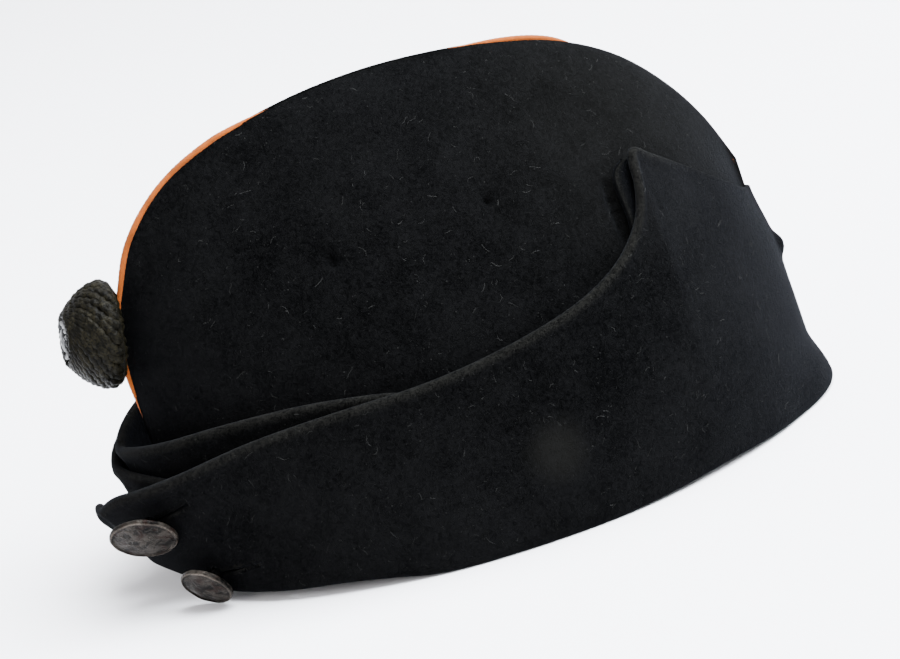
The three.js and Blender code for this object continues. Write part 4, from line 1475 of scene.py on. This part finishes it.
class CAP_OT_nap(bpy.types.Operator):
    """Raises the ends of the wool's own fibres"""

    bl_idname = "cap.nap"
    bl_label = "Nap"

    def execute(self, context):
        sizes = context.scene.cap_sizes
        dice = np.random.default_rng(SEED + 31)
        count = sizes.nap_count
        places, normals, alongs = scatter(cloth_faces(sizes), count, dice)
        across = np.cross(normals, alongs)
        turn = dice.uniform(0, 2 * math.pi, (count, 1))
        lean = alongs * np.cos(turn) + across * np.sin(turn)
        length = sizes.nap_height / MM * dice.uniform(*NAP_LENGTH_SPREAD, (count, 1))
        tip = places + length * unit(NAP_STAND * normals + lean * dice.uniform(*NAP_LEAN, (count, 1)))
        tip[:, 2] = np.maximum(tip[:, 2], -CENTRE[2])
        root = places - NAP_SINK * normals
        root[:, 2] = np.maximum(root[:, 2], -CENTRE[2] + NAP_CLEAR)
        base = [root + NAP_WIDTH * (alongs * math.cos(a) + across * math.sin(a)) for a in NAP_TURNS]
        corners = np.stack([*base, tip], axis=1)
        first = np.arange(count)[:, None, None] * corners.shape[1]
        faces = first + np.array(NAP_FACES)
        shape = Shape()
        shape.add(corners, faces.reshape(-1, 3).tolist())
        paint = made("nap_fibre", nap_paint, context.scene.cap_colours)
        shape.build("wool_nap", paint, "black_wool")
        return {"FINISHED"}


def camera_axes():
    """Right, up and back directions of the camera."""
    azimuth, elevation, roll = (math.radians(a) for a in (CAMERA_AZIMUTH, CAMERA_ELEVATION, CAMERA_ROLL))
    level_share = math.cos(elevation)
    back = Vector((level_share * math.sin(azimuth), -level_share * math.cos(azimuth), math.sin(elevation)))
    level = Vector((math.cos(azimuth), math.sin(azimuth), 0))
    upright = back.cross(level)
    right = level * math.cos(roll) + upright * math.sin(roll)
    return right, upright * math.cos(roll) - level * math.sin(roll), back


def soft_light(name, place, size, power, colour):
    """Square soft box that looks at the cap; lengths in metres."""
    light = bpy.data.lights.new(name, "AREA")
    light.shape = "SQUARE"
    light.size = size
    light.energy = power
    light.color = colour
    lamp = bpy.data.objects.new(name, light)
    bpy.context.scene.collection.objects.link(lamp)
    lamp.location = place
    lamp.rotation_euler = (Vector(LIGHT_TARGET) - Vector(place)).to_track_quat("-Z", "Y").to_euler()


class CAP_OT_stage(bpy.types.Operator):
    """Sets the floor, the lights and the camera"""

    bl_idname = "cap.stage"
    bl_label = "Stage"

    def execute(self, context):
        mesh = bpy.data.meshes.new("floor")
        turn = np.linspace(0, 2 * math.pi, FLOOR_SEGMENTS, endpoint=False)
        rim = np.stack([np.cos(turn), np.sin(turn), 0 * turn], axis=-1) * FLOOR_RADIUS
        mesh.from_pydata(rim.tolist(), [], [list(range(FLOOR_SEGMENTS))])
        mesh.materials.append(made("paper_floor", floor_paint, context.scene.cap_colours))
        floor = bpy.data.objects.new("floor", mesh)
        context.scene.collection.objects.link(floor)
        world = bpy.data.worlds.new("studio")
        world.use_nodes = True
        sky = world.node_tree.nodes["Background"]
        sky.inputs["Color"].default_value = STUDIO_COLOUR
        sky.inputs["Strength"].default_value = STUDIO_STRENGTH
        context.scene.world = world
        for light in LIGHTS:
            soft_light(**light)
        right, up, back = camera_axes()
        aim = Vector(CAMERA_TARGET) + right * CAMERA_SLIDE_RIGHT + up * CAMERA_SLIDE_UP + Vector(CENTRE)
        lens = bpy.data.cameras.new("camera")
        lens.sensor_fit = "HORIZONTAL"
        lens.sensor_width = CAMERA_SENSOR
        lens.lens = CAMERA_LENS
        camera = bpy.data.objects.new("camera", lens)
        context.scene.collection.objects.link(camera)
        turned = Matrix((right, up, back)).transposed().to_4x4()
        camera.matrix_world = Matrix.Translation((aim + back * CAMERA_DISTANCE) * MM) @ turned
        context.scene.camera = camera
        return {"FINISHED"}


OPERATORS = (
    CAP_OT_crown,
    CAP_OT_piping,
    CAP_OT_peak,
    CAP_OT_flaps,
    CAP_OT_buttonholes,
    CAP_OT_buttons,
    CAP_OT_boss,
    CAP_OT_stud,
    CAP_OT_lint,
    CAP_OT_nap,
    CAP_OT_stage,
)


class CAP_PT_pieces(bpy.types.Panel):
    """Lists the cap's settings and pieces"""

    bl_idname = "CAP_PT_pieces"
    bl_label = "Field Service Cap"
    bl_space_type = "VIEW_3D"
    bl_region_type = "UI"
    bl_category = "Cap"

    def draw(self, context):
        for group in (context.scene.cap_sizes, context.scene.cap_colours):
            for name in group.__annotations__:
                self.layout.prop(group, name)
        for operator in OPERATORS:
            self.layout.operator(operator.bl_idname)


CLASSES = (CapSizes, CapColours, *OPERATORS, CAP_PT_pieces)


def register():
    """Adds the settings, operators and panel."""
    for each in CLASSES:
        bpy.utils.register_class(each)
    bpy.types.Scene.cap_sizes = bpy.props.PointerProperty(type=CapSizes)
    bpy.types.Scene.cap_colours = bpy.props.PointerProperty(type=CapColours)


def unregister():
    """Removes the settings, operators and panel."""
    del bpy.types.Scene.cap_colours
    del bpy.types.Scene.cap_sizes
    for each in reversed(CLASSES):
        bpy.utils.unregister_class(each)


def main():
    """Builds the whole cap and its stage."""
    register()
    for operator in OPERATORS:
        getattr(bpy.ops.cap, operator.bl_idname.split(".")[1])()


if __name__ == "__main__":
    main()
